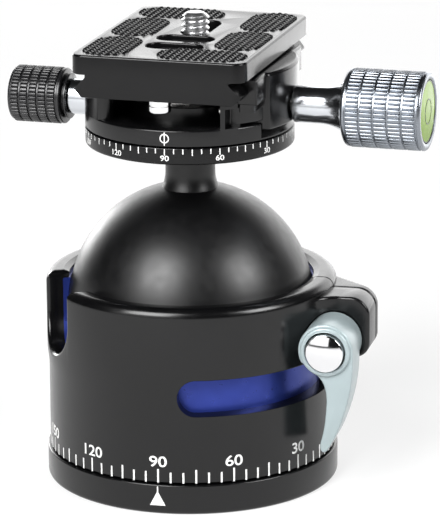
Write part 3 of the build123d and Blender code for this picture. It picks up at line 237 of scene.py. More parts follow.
def rounded(points, steps=ARC_STEPS):
    """Closed outline through points (x, y) or (x, y, radius), with an arc at each radius."""
    out = []
    for index, point in enumerate(points):
        here = Vector(point[:2])
        if len(point) < 3 or point[2] == 0:
            out.append(here)
            continue
        before = (Vector(points[index - 1][:2]) - here).normalized()
        after = (Vector(points[(index + 1) % len(points)][:2]) - here).normalized()
        half = before.angle(after) / 2
        reach = point[2] / tan(half)
        centre = here + (before + after).normalized() * (point[2] / sin(half))
        start = here + before * reach - centre
        end = here + after * reach - centre
        turn = start.angle_signed(end)
        first = atan2(start.y, start.x)
        for step in range(steps + 1):
            angle = first - turn * step / steps
            out.append(centre + point[2] * Vector((cos(angle), sin(angle))))
    return out


def rounded_box(width, height, radius, centre=(0, 0), steps=ARC_STEPS):
    """Counter-clockwise rectangle with rounded corners."""
    x, y = width / 2, height / 2
    cx, cy = centre
    corners = ((cx + x, cy - y), (cx + x, cy + y), (cx - x, cy + y), (cx - x, cy - y))
    return rounded([(*corner, radius) for corner in corners], steps)


def circle(radius, centre=(0, 0), steps=96):
    """Counter-clockwise circle."""
    return [Vector(point) for point in arc(radius, 0, 2 * pi, steps, centre)[:-1]]


def curve_through(points, steps=8):
    """Catmull-Rom curve through points, without its last point."""
    points = [Vector(point) for point in points]
    padded = [2 * points[0] - points[1]] + points + [2 * points[-1] - points[-2]]
    out = []
    for p0, p1, p2, p3 in zip(padded, padded[1:], padded[2:], padded[3:]):
        for step in range(steps):
            t = step / steps
            out.append(0.5 * (2 * p1 + (p2 - p0) * t + (2 * p0 - 5 * p1 + 4 * p2 - p3) * t * t
                              + (3 * p1 - p0 - 3 * p2 + p3) * t ** 3))
    return out


def grown(outline, distance):
    """A counter-clockwise outline moved outwards by a distance."""
    out = []
    for index, here in enumerate(outline):
        before = here - outline[index - 1]
        after = outline[(index + 1) % len(outline)] - here
        normal_in = Vector((before.y, -before.x)).normalized()
        normal_out = Vector((after.y, -after.x)).normalized()
        middle = (normal_in + normal_out).normalized()
        out.append(here + middle * (distance / max(middle.dot(normal_in), 0.4)))
    return out


def split_runs(outline, longest):
    """The same outline with its long runs cut into shorter ones."""
    out = []
    for index, here in enumerate(outline):
        ahead = outline[(index + 1) % len(outline)]
        parts = max(1, ceil((ahead - here).length / longest))
        out += [here.lerp(ahead, part / parts) for part in range(parts)]
    return out


# ==== solids
def tube_of(rings, closed_loop=False):
    """Solid skinned over rings of equal length; a ring of one point is a pole."""
    bm = bmesh.new()
    made = [[bm.verts.new(point) for point in ring] for ring in rings]
    pairs = list(zip(made, made[1:]))
    if closed_loop:
        pairs.append((made[-1], made[0]))
    for low, high in pairs:
        for index in range(max(len(low), len(high))):
            ahead = index + 1
            corners = dict.fromkeys((low[index % len(low)], low[ahead % len(low)],
                                     high[ahead % len(high)], high[index % len(high)]))
            if len(corners) > 2:
                bm.faces.new(tuple(corners))
    if not closed_loop:
        bm.faces.new(made[0])
        bm.faces.new(made[-1])
    bmesh.ops.recalc_face_normals(bm, faces=bm.faces)
    return bm


def stacked(rings, closed_loop=False):
    """Solid skinned over flat rings, each an outline and its height."""
    rings = [[Vector((*point, height)) for point in ring] for ring, height in rings]
    return tube_of(rings, closed_loop)


def lathe(profile, segments=SEGMENTS, relief=None):
    """Solid turned about local Z from a closed profile of (radius, height) points.

    relief(angle, index) is the cut below the radius of profile point number index.
    """
    rings = []
    for index, (radius, height) in enumerate(profile):
        if radius < 1e-6:
            rings.append([Vector((0, 0, height))])
            continue
        ring = []
        for step in range(segments):
            angle = 2 * pi * step / segments
            r = radius - (relief(angle, index) if relief else 0)
            ring.append(Vector((r * cos(angle), r * sin(angle), height)))
        rings.append(ring)
    return tube_of(rings, closed_loop=True)


def turned(inner, outer, z0, z1, edges=(0, 0), segments=SEGMENTS):
    """Disc or ring about local Z whose outer edges are rounded by the two radii."""
    low, high = edges
    return lathe(rounded([(inner, z0), (outer, z0, low), (outer, z1, high), (inner, z1)]),
                 segments)


def prism(outline, z0, z1, edges=(0, 0), steps=3):
    """Solid along local Z whose end edges are rounded by the two radii."""
    low, high = edges
    rings = []
    if low:
        rings = [(grown(outline, -low * (1 - sin(a))), z0 + low * (1 - cos(a)))
                 for a in quarter(steps, 0)[:-1]]
    rings += [(outline, z0 + low), (outline, z1 - high)]
    if high:
        rings += [(grown(outline, -high * (1 - cos(a))), z1 - high * (1 - sin(a)))
                  for a in quarter(steps)]
    return stacked(rings)


def cuboid(width, depth, corner, centre, z0, z1, steps=ARC_STEPS):
    """Box along local Z with rounded corners."""
    return prism(rounded_box(width, depth, corner, centre, steps), z0, z1)


def flared(outline, z0, z1, flare, above=3.0, steps=4):
    """Cutter along local Z that rounds off the edge of its hole where it leaves at z1."""
    edge = [(grown(outline, flare * (1 - cos(a))), z1 - flare * (1 - sin(a)))
            for a in quarter(steps, 0)]
    return stacked([(outline, z0), *edge, (grown(outline, flare), z1 + above)])


def threaded(root, crest, pitch, low, high, steps=64):
    """Right-handed threaded rod along local Z that reaches past both heights."""
    form = [(0.0, root), (0.07, root), (0.40, crest - 0.05), (0.44, crest), (0.56, crest),
            (0.60, crest - 0.05), (0.93, root)]
    last = steps * ceil((high - low) / pitch + 1)
    start = low - pitch
    bm = bmesh.new()

    def vertex(step, share, radius):
        angle = 2 * pi * step / steps
        height = start + pitch * (step / steps + share)
        return bm.verts.new((radius * cos(angle), radius * sin(angle), height))

    rows = [[vertex(step, *point) for point in form] for step in range(last + 1)]
    crown = [vertex(step, *form[0]) for step in range(last + 1, last + steps + 1)]
    roots = [row[0] for row in rows] + crown
    for step in range(last):
        here = rows[step] + [roots[step + steps]]
        ahead = rows[step + 1] + [roots[step + steps + 1]]
        for index in range(len(form)):
            bm.faces.new((here[index], ahead[index], ahead[index + 1], here[index + 1]))
    ends = [(roots[:steps + 1] + rows[0][:0:-1], start),
            (rows[-1] + roots[:last:-1], start + pitch * (last / steps + 1))]
    for loop, height in ends:
        centre = bm.verts.new((0, 0, height))
        for index, vert in enumerate(loop):
            bm.faces.new((vert, loop[(index + 1) % len(loop)], centre))
    bmesh.ops.recalc_face_normals(bm, faces=bm.faces)
    return bm


def moved(bm, matrix):
    """The same solid at another place."""
    bmesh.ops.transform(bm, matrix=matrix, verts=bm.verts)
    return bm


def joined(*parts):
    """Several separate solids in one mesh."""
    first = parts[0]
    for part in parts[1:]:
        mesh = bpy.data.meshes.new("part")
        part.to_mesh(mesh)
        part.free()
        first.from_mesh(mesh)
        bpy.data.meshes.remove(mesh)
    return first


def loose_object(bm):
    """Short-lived object for a boolean."""
    mesh = bpy.data.meshes.new("loose")
    bm.to_mesh(mesh)
    bm.free()
    obj = bpy.data.objects.new("loose", mesh)
    scene.collection.objects.link(obj)
    return obj


def combine(body, tools, operation):
    """Exact boolean of a solid with each tool in turn."""
    target = loose_object(body)
    helpers = [loose_object(tool) for tool in tools]
    for helper in helpers:
        step = target.modifiers.new("step", "BOOLEAN")
        step.operation = operation
        step.solver = "EXACT"
        step.object = helper
    depsgraph = bpy.context.evaluated_depsgraph_get()
    mesh = bpy.data.meshes.new_from_object(target.evaluated_get(depsgraph))
    result = bmesh.new()
    result.from_mesh(mesh)
    bpy.data.meshes.remove(mesh)
    for obj in [target] + helpers:
        old = obj.data
        bpy.data.objects.remove(obj)
        bpy.data.meshes.remove(old)
    return result


def cut(body, *tools):
    return combine(body, tools, "DIFFERENCE")


def fuse(body, *tools):
    return combine(body, tools, "UNION")


def common(body, *tools):
    return combine(body, tools, "INTERSECT")


def piece(name, bm, look, body, nodes=(), sharp=32.0):
    """Turns a solid in millimetres into a shaded piece that rides on a CAD body.

    Edges that bend by more than sharp degrees stay hard.
    """
    bmesh.ops.remove_doubles(bm, verts=bm.verts, dist=1e-4)
    bmesh.ops.dissolve_degenerate(bm, edges=bm.edges, dist=1e-4)
    bmesh.ops.scale(bm, vec=(MM, MM, MM), verts=bm.verts)
    mesh = bpy.data.meshes.new(name)
    bm.to_mesh(mesh)
    bm.free()
    mesh.polygons.foreach_set("use_smooth", [True] * len(mesh.polygons))
    mesh.set_sharp_from_angle(angle=radians(sharp))
    mesh.materials.append(looks[look])
    obj = bpy.data.objects.new(name, mesh)
    scene.collection.objects.link(obj)
    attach(obj, body)
    if nodes:
        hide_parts(*nodes)


# ==== places
def along(origin, direction, up=(0, 0, 1)):
    """Matrix whose local Z runs along a direction and whose local Y is as near up as it can be."""
    z = Vector(direction).normalized()
    x = Vector(up).cross(z).normalized()
    y = z.cross(x)
    turn = Matrix((x, y, z)).transposed().to_4x4()
    return Matrix.Translation(Vector(origin)) @ turn


def outward(azimuth, elevation=0):
    """Direction at an azimuth, level or raised by an elevation."""
    az, el = radians(azimuth), radians(elevation)
    return Vector((sin(az) * cos(el), -cos(az) * cos(el), sin(el)))


TO_FRONT = along((0, 0, 0), (0, -1, 0))
LUG_PLACE = along((0, 0, 0), outward(MARK_AZ))
BOLT_PLACE = along(outward(LUG_AZ) * BOLT_X + Vector((0, 0, BOLT_Z)), outward(MARK_AZ))
LOCK_PLACE = along((0, 0, LOCK_Z), outward(LOCK_AZ))
KNOB_PLACE = along((0, 0, KNOB_Z), (1, 0, 0))
SIDE_PLACE = along((0, 0, SIDE_Z), (-1, 0, 0))


def along_y(section, half, edges=(0, 0)):
    """Solid with an x-z section that runs along Y, as far to the front as to the back."""
    return moved(prism(section, -half, half, edges), TO_FRONT)


def bore(place, radius, z0, z1, steps=96):
    """Cutter along the local Z of a place, round or with as many sides as steps."""
    return moved(prism(circle(radius, steps=steps), z0, z1), place)


def slice_up(bm, step):
    """Cuts a flat mesh across its X so that it can be bent."""
    reach = max(abs(vert.co.x) for vert in bm.verts)
    for line in range(-int(reach / step), int(reach / step) + 1):
        geometry = bm.verts[:] + bm.edges[:] + bm.faces[:]
        bmesh.ops.bisect_plane(bm, geom=geometry, plane_co=(line * step, 0, 0), plane_no=(1, 0, 0))
    return bm


def wrap(bm, azimuth, radius):
    """Bends a flat mesh, whose X runs round and whose Z is outwards, onto a cylinder."""
    for vert in bm.verts:
        angle = radians(azimuth) + vert.co.x / radius
        r = radius + vert.co.z
        vert.co = Vector((r * sin(angle), -r * cos(angle), vert.co.y))
    return bm


# ==== finishes
def feed(tree, node, inputs):
    """Sets a node's inputs: constants on the socket itself, other nodes' sockets by a link."""
    for key, value in inputs.items():
        if isinstance(value, bpy.types.NodeSocket):
            tree.links.new(value, node.inputs[key])
        else:
            node.inputs[key].default_value = value
    return node


def add_node(tree, kind, inputs):
    """New shader node with its inputs."""
    return feed(tree, tree.nodes.new("ShaderNode" + kind), inputs)


def finish(name, colour, roughness, metallic=0.0, grain=0.2, grain_depth=0.002, mottle=0.12,
           rough_span=0.06, coat=0.0, ior=1.5):
    """Procedural finish: cloudy colour, uneven roughness and a fine grain of a given size in mm."""
    material = bpy.data.materials.new(name)
    material.use_nodes = True
    tree = material.node_tree
    place = tree.nodes.new("ShaderNodeTexCoord").outputs["Object"]

    def noise(size, detail):
        node = add_node(tree, "TexNoise", {"Vector": place, "Scale": 1 / (size * MM),
                                           "Detail": detail})
        return node.outputs["Fac"]

    dark, light = 0.3, 0.7
    ramp = add_node(tree, "ValToRGB", {"Fac": noise(7.0, 4.0)})
    stops = ramp.color_ramp.elements
    for stop, position, share in ((stops[0], dark, 1 - mottle), (stops[1], light, 1 + mottle)):
        stop.position = position
        stop.color = (*[min(c * share, 1) for c in colour], 1)
    span = add_node(tree, "MapRange", {"Value": noise(2.2, 3.0), "From Min": dark,
                                       "From Max": light, "To Min": roughness - rough_span,
                                       "To Max": roughness + rough_span})
    inputs = {"Base Color": ramp.outputs["Color"], "Roughness": span.outputs["Result"],
              "Metallic": metallic, "IOR": ior, "Coat Weight": coat, "Coat Roughness": 0.12}
    if grain_depth:
        bump = add_node(tree, "Bump", {"Height": noise(grain, 2.0), "Strength": 1.0,
                                       "Distance": grain_depth * MM})
        inputs["Normal"] = bump.outputs["Normal"]
    feed(tree, tree.nodes["Principled BSDF"], inputs)
    return material


looks = {
    "anodised": finish("anodised_black", (0.0025, 0.0025, 0.0028), 0.23, grain=0.16,
                       grain_depth=0.0008, mottle=0.2, rough_span=0.02, ior=1.46),
    "ball": finish("ball_black", (0.0015, 0.0015, 0.0018), 0.38, grain=0.3, grain_depth=0.010,
                   mottle=0.2, rough_span=0.03),
    "plate": finish("plate_black", (0.003, 0.003, 0.0033), 0.22, grain=0.14,
                    grain_depth=0.0006, rough_span=0.015, ior=1.36),
    "disc": finish("disc_black", (0.002, 0.002, 0.0023), 0.27, grain=0.16, grain_depth=0.0008,
                   mottle=0.2, rough_span=0.02, ior=1.38),
    "knurl_black": finish("knurl_black", (0.010, 0.010, 0.011), 0.28, grain_depth=0.003,
                          ior=1.55),
    "blue": finish("anodised_blue", (0.028, 0.050, 0.30), 0.32, metallic=0.6,
                   grain_depth=0.0008, mottle=0.08),
    "lever": finish("lever_coat", (0.385, 0.46, 0.475), 0.34, metallic=0.2, grain=0.12,
                    mottle=0.04, coat=0.2),
    "silver": finish("silver_anodised", (0.27, 0.29, 0.32), 0.30, metallic=1.0, grain=0.15,
                     grain_depth=0.0006, mottle=0.05),
    "neck": finish("turned_silver", (0.62, 0.64, 0.67), 0.17, metallic=1.0, grain=0.15,
                   grain_depth=0.001, mottle=0.04, rough_span=0.02),
    "chrome": finish("chrome", (0.80, 0.80, 0.81), 0.09, metallic=1.0, grain=0.4,
                     grain_depth=0.0008, mottle=0.03, rough_span=0.03),
    "steel": finish("steel", (0.55, 0.54, 0.53), 0.22, metallic=1.0),
    "screw": finish("bright_steel", (0.76, 0.76, 0.77), 0.33, metallic=1.0, grain_depth=0.001,
                    mottle=0.03, rough_span=0.03),
    "brass": finish("brass", (0.70, 0.48, 0.18), 0.25, metallic=1.0),
    "rubber": finish("rubber_black", (0.007, 0.007, 0.0075), 0.30, grain=0.12,
                     grain_depth=0.004, mottle=0.25, ior=1.4),
    "nylon": finish("nylon", (0.62, 0.61, 0.57), 0.5, grain=0.3, grain_depth=0.004),
    "paint": finish("mark_white", (0.92, 0.92, 0.91), 0.55, grain=0.1, mottle=0.03),
    "ink": finish("vial_black", (0.01, 0.012, 0.008), 0.35, grain=0.1, grain_depth=0.001),
    "vial": finish("vial_green", (0.23, 0.38, 0.028), 0.22, grain_depth=0.0, ior=1.2),
}


# ==== base
def build_base():
    hole, flange = BUSH_R + FIT, BUSH_FLANGE_R + FIT
    spindle = SPINDLE_R - 0.05
    top, seat = base_high.z, base_high.z - BUSH_FLANGE_H
    profile = rounded([(hole, 0.0), (BASE_R, 0.0, 1.0), (BASE_R, BASE_H, 0.3), (spindle, BASE_H),
                       (spindle, top), (flange, top), (flange, seat), (hole, seat)])
    piece("base", lathe(profile), "anodised", "base", ["base_disc"])


def build_bush():
    """Flanged bush with its 3/8 inch thread."""
    top, seat = base_high.z, base_high.z - BUSH_FLANGE_H
    body = lathe(rounded([(0, 0.1), (BUSH_R, 0.1), (BUSH_R, seat), (BUSH_FLANGE_R, seat, 0.1),
                          (BUSH_FLANGE_R, top, 0.2), (0, top)]), 160)
    mouth = lathe([(0, -1), (6.0, -1), (5.25, 0.1), (4.3, 0.9), (0, 0.9)], 96)
    tap = threaded(TRIPOD_ROOT_R, TRIPOD_THREAD_R, TRIPOD_PITCH, 0, top)
    piece("tripod_bush_threaded", cut(body, mouth, tap), "steel", "base",
          ["tripod_bush"])


# ==== ball housing
def wall_cutter(outline, azimuth, rings, bend):
    """Cutter through a round wall; rings are (radius, growth of the outline).

    bend(x, radius) gives the side and outward place of a point of the flat cutter.
    """
    bm = stacked([(grown(outline, growth), radius) for radius, growth in rings])
    slice_up(bm, 1.0)
    bmesh.ops.triangulate(bm, faces=bm.faces)
    place = along((0, 0, 0), outward(azimuth))
    for vert in bm.verts:
        side, out = bend(vert.co.x, vert.co.z)
        vert.co = place @ Vector((side, vert.co.y, out))
    bmesh.ops.recalc_face_normals(bm, faces=bm.faces)
    return bm


def straight_sides(x, radius):
    return x, sqrt(radius ** 2 - x ** 2)


def radial_sides(x, radius):
    return radius * sin(x / COLLAR_R), radius * cos(x / COLLAR_R)


def edge_rings(inner, surface, flare, beyond):
    """Radii and growths that round off an edge at a surface radius."""
    edge = [(surface - flare * (1 - sin(a)), flare * (1 - cos(a))) for a in quarter(4, 0)]
    return [(inner, 0.0), *edge, (beyond, flare)]


def notch_cutter(inner, surface, flare):
    """U-shaped drop notch, open at the rim, with rounded shoulders at its top."""
    shoulder = 1.6
    right = [(NOTCH_HALF + shoulder * (1 - cos(a)), RIM_Z - shoulder + shoulder * sin(a))
             for a in quarter(5, 0)]
    right.append((NOTCH_HALF + shoulder, RIM_Z + 4))
    left = [(-x, z) for x, z in reversed(right)]
    bottom = arc(NOTCH_HALF, pi, 2 * pi, 32, (0, NOTCH_Z + NOTCH_HALF))
    outline = [Vector(point) for point in right + left + bottom]
    return wall_cutter(outline, NOTCH_AZ, edge_rings(inner, surface, flare, surface + 6),
                       straight_sides)


def slot_cutter():
    """Flexure slot that runs round the wall from its front to under the lug."""
    half = (SLOT_Z1 - SLOT_Z0) / 2
    length = radians(SLOT_AZ1 - SLOT_AZ0) * COLLAR_R + half
    outline = rounded_box(length, 2 * half, half - 0.001, (length / 2, (SLOT_Z0 + SLOT_Z1) / 2), 16)
    rings = edge_rings(BORE_R - 2, HOUSE_R + 0.2, 0.35, COLLAR_R + 3)
    return wall_cutter(outline, SLOT_AZ0, rings, radial_sides)


def split_cutter(width, height, centre):
    """Thin slab in the plane of the split, upright and across the lug."""
    slab = cuboid(width, height, 0.01, centre, -SPLIT_W / 2, SPLIT_W / 2, 1)
    return moved(slab, LUG_PLACE)


def ear_front_view(inner, reach=LUG_X):
    """Side of the lug as seen along the bolt: x away from the ball, y up."""
    return rounded([(inner, LUG_Z0), (reach, LUG_Z0, LUG_ROUND), (reach, LUG_Z1, LUG_ROUND + 0.8),
                    (inner, LUG_Z1)], steps=12)


def front_ear():
    """Ear in front of the split, blended into the collar by a hollow radius."""
    lobe = prism(ear_front_view(WALL_R), SPLIT_W / 2, EAR_FRONT, (SPLIT_EDGE, EAR_EDGE), 5)
    span, drop = COLLAR_R + EAR_BLEND, EAR_FRONT + EAR_BLEND
    centre = Vector((sqrt(span ** 2 - drop ** 2), -drop))
    last = atan2(-centre.y, -centre.x)
    blend = [Vector(point) for point in arc(EAR_BLEND, pi / 2, last, 12, centre)]
    outline = [Vector((WALL_R, -2)), blend[-1] * (WALL_R / COLLAR_R), *reversed(blend),
               Vector((centre.x, -2))]
    block = prism(outline, LUG_Z0, LUG_Z1, (0.6, EAR_EDGE), 5)
    return fuse(moved(lobe, LUG_PLACE), moved(block, Matrix.Rotation(radians(MARK_AZ), 4, "Z")))


def rear_ear():
    """Ear behind the split: slices along the bolt that draw back to the collar."""
    inner = COLLAR_R - 2.6
    back = rounded([(LUG_X, 1.2), (LUG_X, EAR_REAR_TIP, 1.0), (31.1, EAR_REAR, 9.0), (28.4, 16.9)])
    edge = [(grown(ear_front_view(inner), -SPLIT_EDGE * (1 - sin(a))),
             -SPLIT_W / 2 - SPLIT_EDGE * (1 - cos(a))) for a in quarter(4, 0)]
    slices = [(ear_front_view(sqrt(inner ** 2 - depth ** 2), reach), -depth)
              for reach, depth in back]
    return moved(stacked(edge + slices), LUG_PLACE)


def build_housing():
    wall = rounded([(SPINDLE_R, HOUSE_Z), (HOUSE_R, HOUSE_Z, 0.35), (HOUSE_R, STEP_Z0),
                    (COLLAR_R, STEP_Z1), (COLLAR_R, RIM_Z, RIM_ROUND),
                    (LIP_R + 1.5, RIM_Z, 0.3), (LIP_R, RIM_Z - 0.5, 0.3), (LIP_R + 0.2, LIP_Z),
                    (BORE_R, LIP_Z), (BORE_R, CUP_Z0), (SEAT_R, CUP_Z0), (SEAT_R, SEAT_Z),
                    (DISH_R, SEAT_Z), (DISH_R, DISH_Z), (SPINDLE_R, DISH_Z)], steps=8)
    shell = fuse(lathe(wall, 384), front_ear(), rear_ear())
    split = split_cutter(LUG_X - BORE_R + 8, RIM_Z - SLOT_Z1 + 8,
                         ((LUG_X + BORE_R) / 2 + 2, (RIM_Z + SLOT_Z1) / 2 + 3))
    barrel = bore(BOLT_PLACE, HUB_R + 0.35, EAR_FRONT, EAR_FRONT + 22.0)
    nut = bore(BOLT_PLACE, NUT_R, -EAR_REAR - 4, -NUT_FLOOR, 6)
    lock = bore(LOCK_PLACE, LOCK_SCREW_R + BORE_GAP, 18, HOUSE_R + 2, 48)
    shell = cut(shell, slot_cutter(), notch_cutter(BORE_R - 8, COLLAR_R, 0.9), split, barrel, nut,
                lock)
    piece("housing", shell, "anodised", "housing", ["ball_housing"], 28)


def build_cup():
    top, outer = LIP_Z - 0.1, BORE_R - FIT
    sphere = BALL_R + 0.12
    first = -asin(sqrt(1 - (CUP_INNER_R / sphere) ** 2))
    seat = arc(sphere, first, asin((top - BALL_Z) / sphere), 32, (0, BALL_Z))
    profile = rounded([(CUP_INNER_R, CUP_Z0), *seat[:-1], (*seat[-1], 0.2), (outer, top, 0.4),
                       (outer, CUP_Z0)], 4)
    cup = cut(lathe(profile, 384), notch_cutter(BORE_R - 10, BORE_R + 1, 0.1),
              split_cutter(20, 40, (BORE_R, 38)))
    piece("cup", cup, "blue", "housing", ["ball_cup"], 28)


# ==== lever and button
def lever_outline():
    """Hub and swept arm, seen along the bolt, counter-clockwise from the hub's right side."""
    def at(across, down):
        return Vector((across * HUB_R, -down * ARM_LEN))

    hub = [Vector(point) for point in arc(HUB_R, 0, radians(212), 40)[:-1]]
    inner = curve_through([hub[-1], at(-0.42, 0.215), at(-0.10, 0.31), at(0.03, 0.44),
                           at(0.02, 0.60), at(-0.06, 0.78), at(-0.19, 0.93)])
    tip = curve_through([at(-0.19, 0.93), at(-0.17, 0.985), at(-0.05, 1.01), at(0.09, 0.985)], 5)
    outer = curve_through([at(0.09, 0.985), at(0.46, 0.79), at(0.79, 0.53), at(0.97, 0.26),
                           at(1.0, 0.0)])
    return hub[:-1] + inner + tip + outer


def build_lever():
    arm = prism(lever_outline(), ARM_BACK, LEVER_FRONT, (0.5, 0.4), 5)
    hub = turned(0, HUB_R - 0.02, HUB_BACK, ARM_BACK + 2, (0.3, 0), 128)
    top, foot = LEVER_FRONT + RING_H, LEVER_FRONT - 1.0
    inner, outer = RECESS_R - 1.0, RECESS_R + 1.1
    ring = lathe(rounded([(inner, foot), (outer, foot), (outer, top, 0.55), (inner, top)], 8), 128)
    floor, mouth = top - 4.6, RECESS_R + 0.35
    recess = lathe([(0, floor), (RECESS_R, floor), (RECESS_R, top - 0.35),
                    (RECESS_R + 0.1, top - 0.1), (mouth, top + 0.02), (mouth, top + 2),
                    (0, top + 2)], 128)
    body = cut(fuse(arm, hub, ring), recess)
    piece("lever", moved(body, BOLT_PLACE), "lever", "lever", ["clamp_lever"], 30)


def build_button():
    """Domed button with a soft edge."""
    bulge, edge = 0.85, 0.35
    sphere = (BUTTON_R ** 2 + bulge ** 2) / (2 * bulge)
    reach = asin((BUTTON_R - edge) / sphere)
    dome = arc(sphere, pi / 2 - reach, pi / 2, 16, (0, BUTTON_FRONT - sphere))
    back, side_top = BUTTON_FRONT - BUTTON_LEN, dome[0][1] - edge * 0.9
    profile = [(BUTTON_R - 0.5, back), (BUTTON_R, back), (BUTTON_R, side_top),
               (BUTTON_R - edge * 0.08, side_top + edge * 0.4),
               (BUTTON_R - edge * 0.35, side_top + edge * 0.7), *dome, (0, back)]
    piece("button", moved(lathe(profile, 160), BOLT_PLACE), "chrome", "button",
          ["lever_button"], 40)


def build_lever_washer():
    washer = turned(BOLT_R + BORE_GAP, WASHER_R, EAR_FRONT + 0.05, HUB_BACK, (0.1, 0.1), 96)
    piece("lever_washer_ring", moved(washer, BOLT_PLACE), "steel", "lever",
          ["lever_washer"])


# ==== ball, neck and scale disc
def build_ball():
    foot_r, flare = NECK_R + 0.75, 3.4
    low = -asin(sqrt(1 - (BALL_BORE_R / BALL_R) ** 2))
    sphere = arc(BALL_R, low, acos(foot_r / BALL_R), 128, (0, BALL_Z))
    foot_z = sphere[-1][1] + 0.15
    neck = [(NECK_R + (foot_r - NECK_R) * (1 - t) ** 2, foot_z + flare * t)
            for t in [step / 12 for step in range(1, 13)]]
    spigot_r, spigot_z = 4.2, NECK_TOP_Z + 2.95
    tap_r, tap_z = 2.95, NECK_TOP_Z - 11
    bore_top, bore_edge = 42.9, 37.9
    profile = sphere + neck + [(NECK_R, NECK_TOP_Z), (spigot_r, NECK_TOP_Z), (spigot_r, spigot_z),
                               (tap_r, spigot_z), (tap_r, tap_z), (0, tap_z), (0, bore_top),
                               (BALL_BORE_R, bore_edge)]
    piece("ball", lathe(profile, 320), "ball", "ball", ["ball_stem"])


def build_disc():
    top, post = NECK_TOP_Z + DISC_H, disc_high.z
    hole, head, head_z = 4.3, 5.3, NECK_TOP_Z + DISC_H + 2.2
    groove_in, groove_out, groove_z = 14.4, 20.1, top - 0.6
    profile = rounded([(hole, NECK_TOP_Z), (DISC_R, NECK_TOP_Z, 0.6), (DISC_R, top, 0.25),
                       (groove_out, top), (groove_out, groove_z), (groove_in, groove_z),
                       (groove_in, top), (HUB_POST_R, top), (HUB_POST_R, post), (head, post),
                       (head, head_z), (hole, head_z)])
    piece("scale_disc", lathe(profile), "disc", "ball", ["pan_scale_disc"])


def build_hub_cap():
    """Cap on the post, with three countersunk holes."""
    low, high = cap_low.z, cap_high.z
    shank, head = 1.02, 1.92
    sink = [(0, low - 0.2), (shank, low - 0.2), (shank, low + 0.1), (head, high), (head, high + 1),
            (0, high + 1)]
    sinks = [moved(lathe(sink, 48), Matrix.Translation((x, y, 0)))
             for x, y in arc(CAP_SCREWS_R, 0, 2 * pi, 3)[:-1]]
    cap = cut(turned(0, cap_high.x, low, high, (0, 0.25), 128), *sinks)
    piece("hub_cap_disc", cap, "steel", "ball", ["hub_cap"])


# ==== scales
def tick(z0, z1, width, radius, azimuth):
    """Upright line on a cylinder."""
    centre = (0, (z0 + z1) / 2)
    bm = cuboid(width, z1 - z0, 0.05, centre, -MARK_SUNK, MARK_PROUD, 2)
    return wrap(bm, azimuth, radius)


def digits(text, height, azimuth, low_z, radius, bold):
    """Number on a cylinder, centred on an azimuth, standing on a height."""
    sunk, widen, height_share = 0.04, 1.22, 0.70
    curve = bpy.data.curves.new("digits", "FONT")
    curve.body = text
    curve.align_x = "CENTER"
    curve.size = height / height_share
    curve.offset = bold
    curve.resolution_u = 4
    curve.space_character = 0.98
    obj = bpy.data.objects.new("digits", curve)
    scene.collection.objects.link(obj)
    mesh = bpy.data.meshes.new_from_object(obj.evaluated_get(bpy.context.evaluated_depsgraph_get()))
    bpy.data.objects.remove(obj)
    bm = bmesh.new()
    bm.from_mesh(mesh)
    bpy.data.meshes.remove(mesh)
    bmesh.ops.remove_doubles(bm, verts=bm.verts, dist=1e-3)
    bmesh.ops.scale(bm, vec=(widen, 1, 1), verts=bm.verts)
    slice_up(bm, 0.35)
    top = bmesh.ops.extrude_face_region(bm, geom=bm.faces[:])
    lifted = [item for item in top["geom"] if isinstance(item, bmesh.types.BMVert)]
    bmesh.ops.translate(bm, vec=(0, 0, MARK_PROUD + sunk), verts=lifted)
    bmesh.ops.translate(bm, vec=(0, low_z, -sunk), verts=bm.verts)
    bmesh.ops.recalc_face_normals(bm, faces=bm.faces)
    return wrap(bm, azimuth, radius)


def scale_marks(radius, z_from, short, long, width, digit_z, digit_h, bold):
    """Degree scale round a cylinder: a tick each 5 degrees, a longer one each 15, numbers each 30.

    short and long are the lengths of the ticks, below zero for ticks that hang from z_from.
    """
    marks = []
    for value in range(0, 360, 5):
        azimuth = LUG_AZ - value
        z_to = z_from + (short if value % 15 else long)
        marks.append(tick(min(z_from, z_to), max(z_from, z_to), width, radius, azimuth))
        if value % 30 == 0:
            marks.append(digits(str(value), digit_h, azimuth, digit_z, radius, bold))
    return joined(*marks)


def mark(name, bm, body):
    """White marks painted on a body."""
    piece(name, bm, "paint", body, sharp=40)


def build_marks():
    mark("base_scale", scale_marks(HOUSE_R, 7.25, 2.5, 3.2, 0.42, 11.0, 2.45, 0.045), "housing")
    mark("disc_scale", scale_marks(DISC_R, 81.55, -1.1, -1.5, 0.24, 78.85, 1.2, 0.02), "ball")
    fine, low, high = 0.4, 2.1, 5.3
    corners = [Vector(point) for point in ((-1.8, low), (1.8, low), (0.1, high), (-0.1, high))]
    arrow = slice_up(prism(split_runs(corners, fine), -MARK_SUNK, MARK_PROUD), fine)
    mark("base_pointer", joined(wrap(arrow, MARK_AZ, BASE_R), tick(5.0, 6.55, 0.3, BASE_R, MARK_AZ)),
         "base")
    ring = circle(0.95, (0, 83.9), 40)
    outer, inner = grown(ring, 0.12), grown(ring, -0.12)
    hollow = stacked([(outer, -MARK_SUNK), (outer, MARK_PROUD), (inner, MARK_PROUD),
                      (inner, -MARK_SUNK)], closed_loop=True)
    line = tick(82.3, 85.3, 0.24, DISC_R, MARK_AZ)
    mark("clamp_zero_mark", joined(wrap(hollow, MARK_AZ, DISC_R), line), "clamp")


# ==== clamp body and jaw
def flank(side, gap, edge):
    """Widest edge and upper slope of the dovetail, as a section that stands off by a gap."""
    wide = side * (DOVETAIL_HALF + gap)
    return [(wide, DOVETAIL_Z - 0.2, edge), (wide, DOVETAIL_Z + 0.2, edge),
            (side * (NECK_HALF + gap), JAW_TOP_Z, 0.2)]


def channel_side(side):
    """Section of a jaw's face, from the shelf to the top."""
    return [(side * (FOOT_HALF + FLANK_GAP), SHELF_Z), *flank(side, FLANK_GAP, 0.1)]


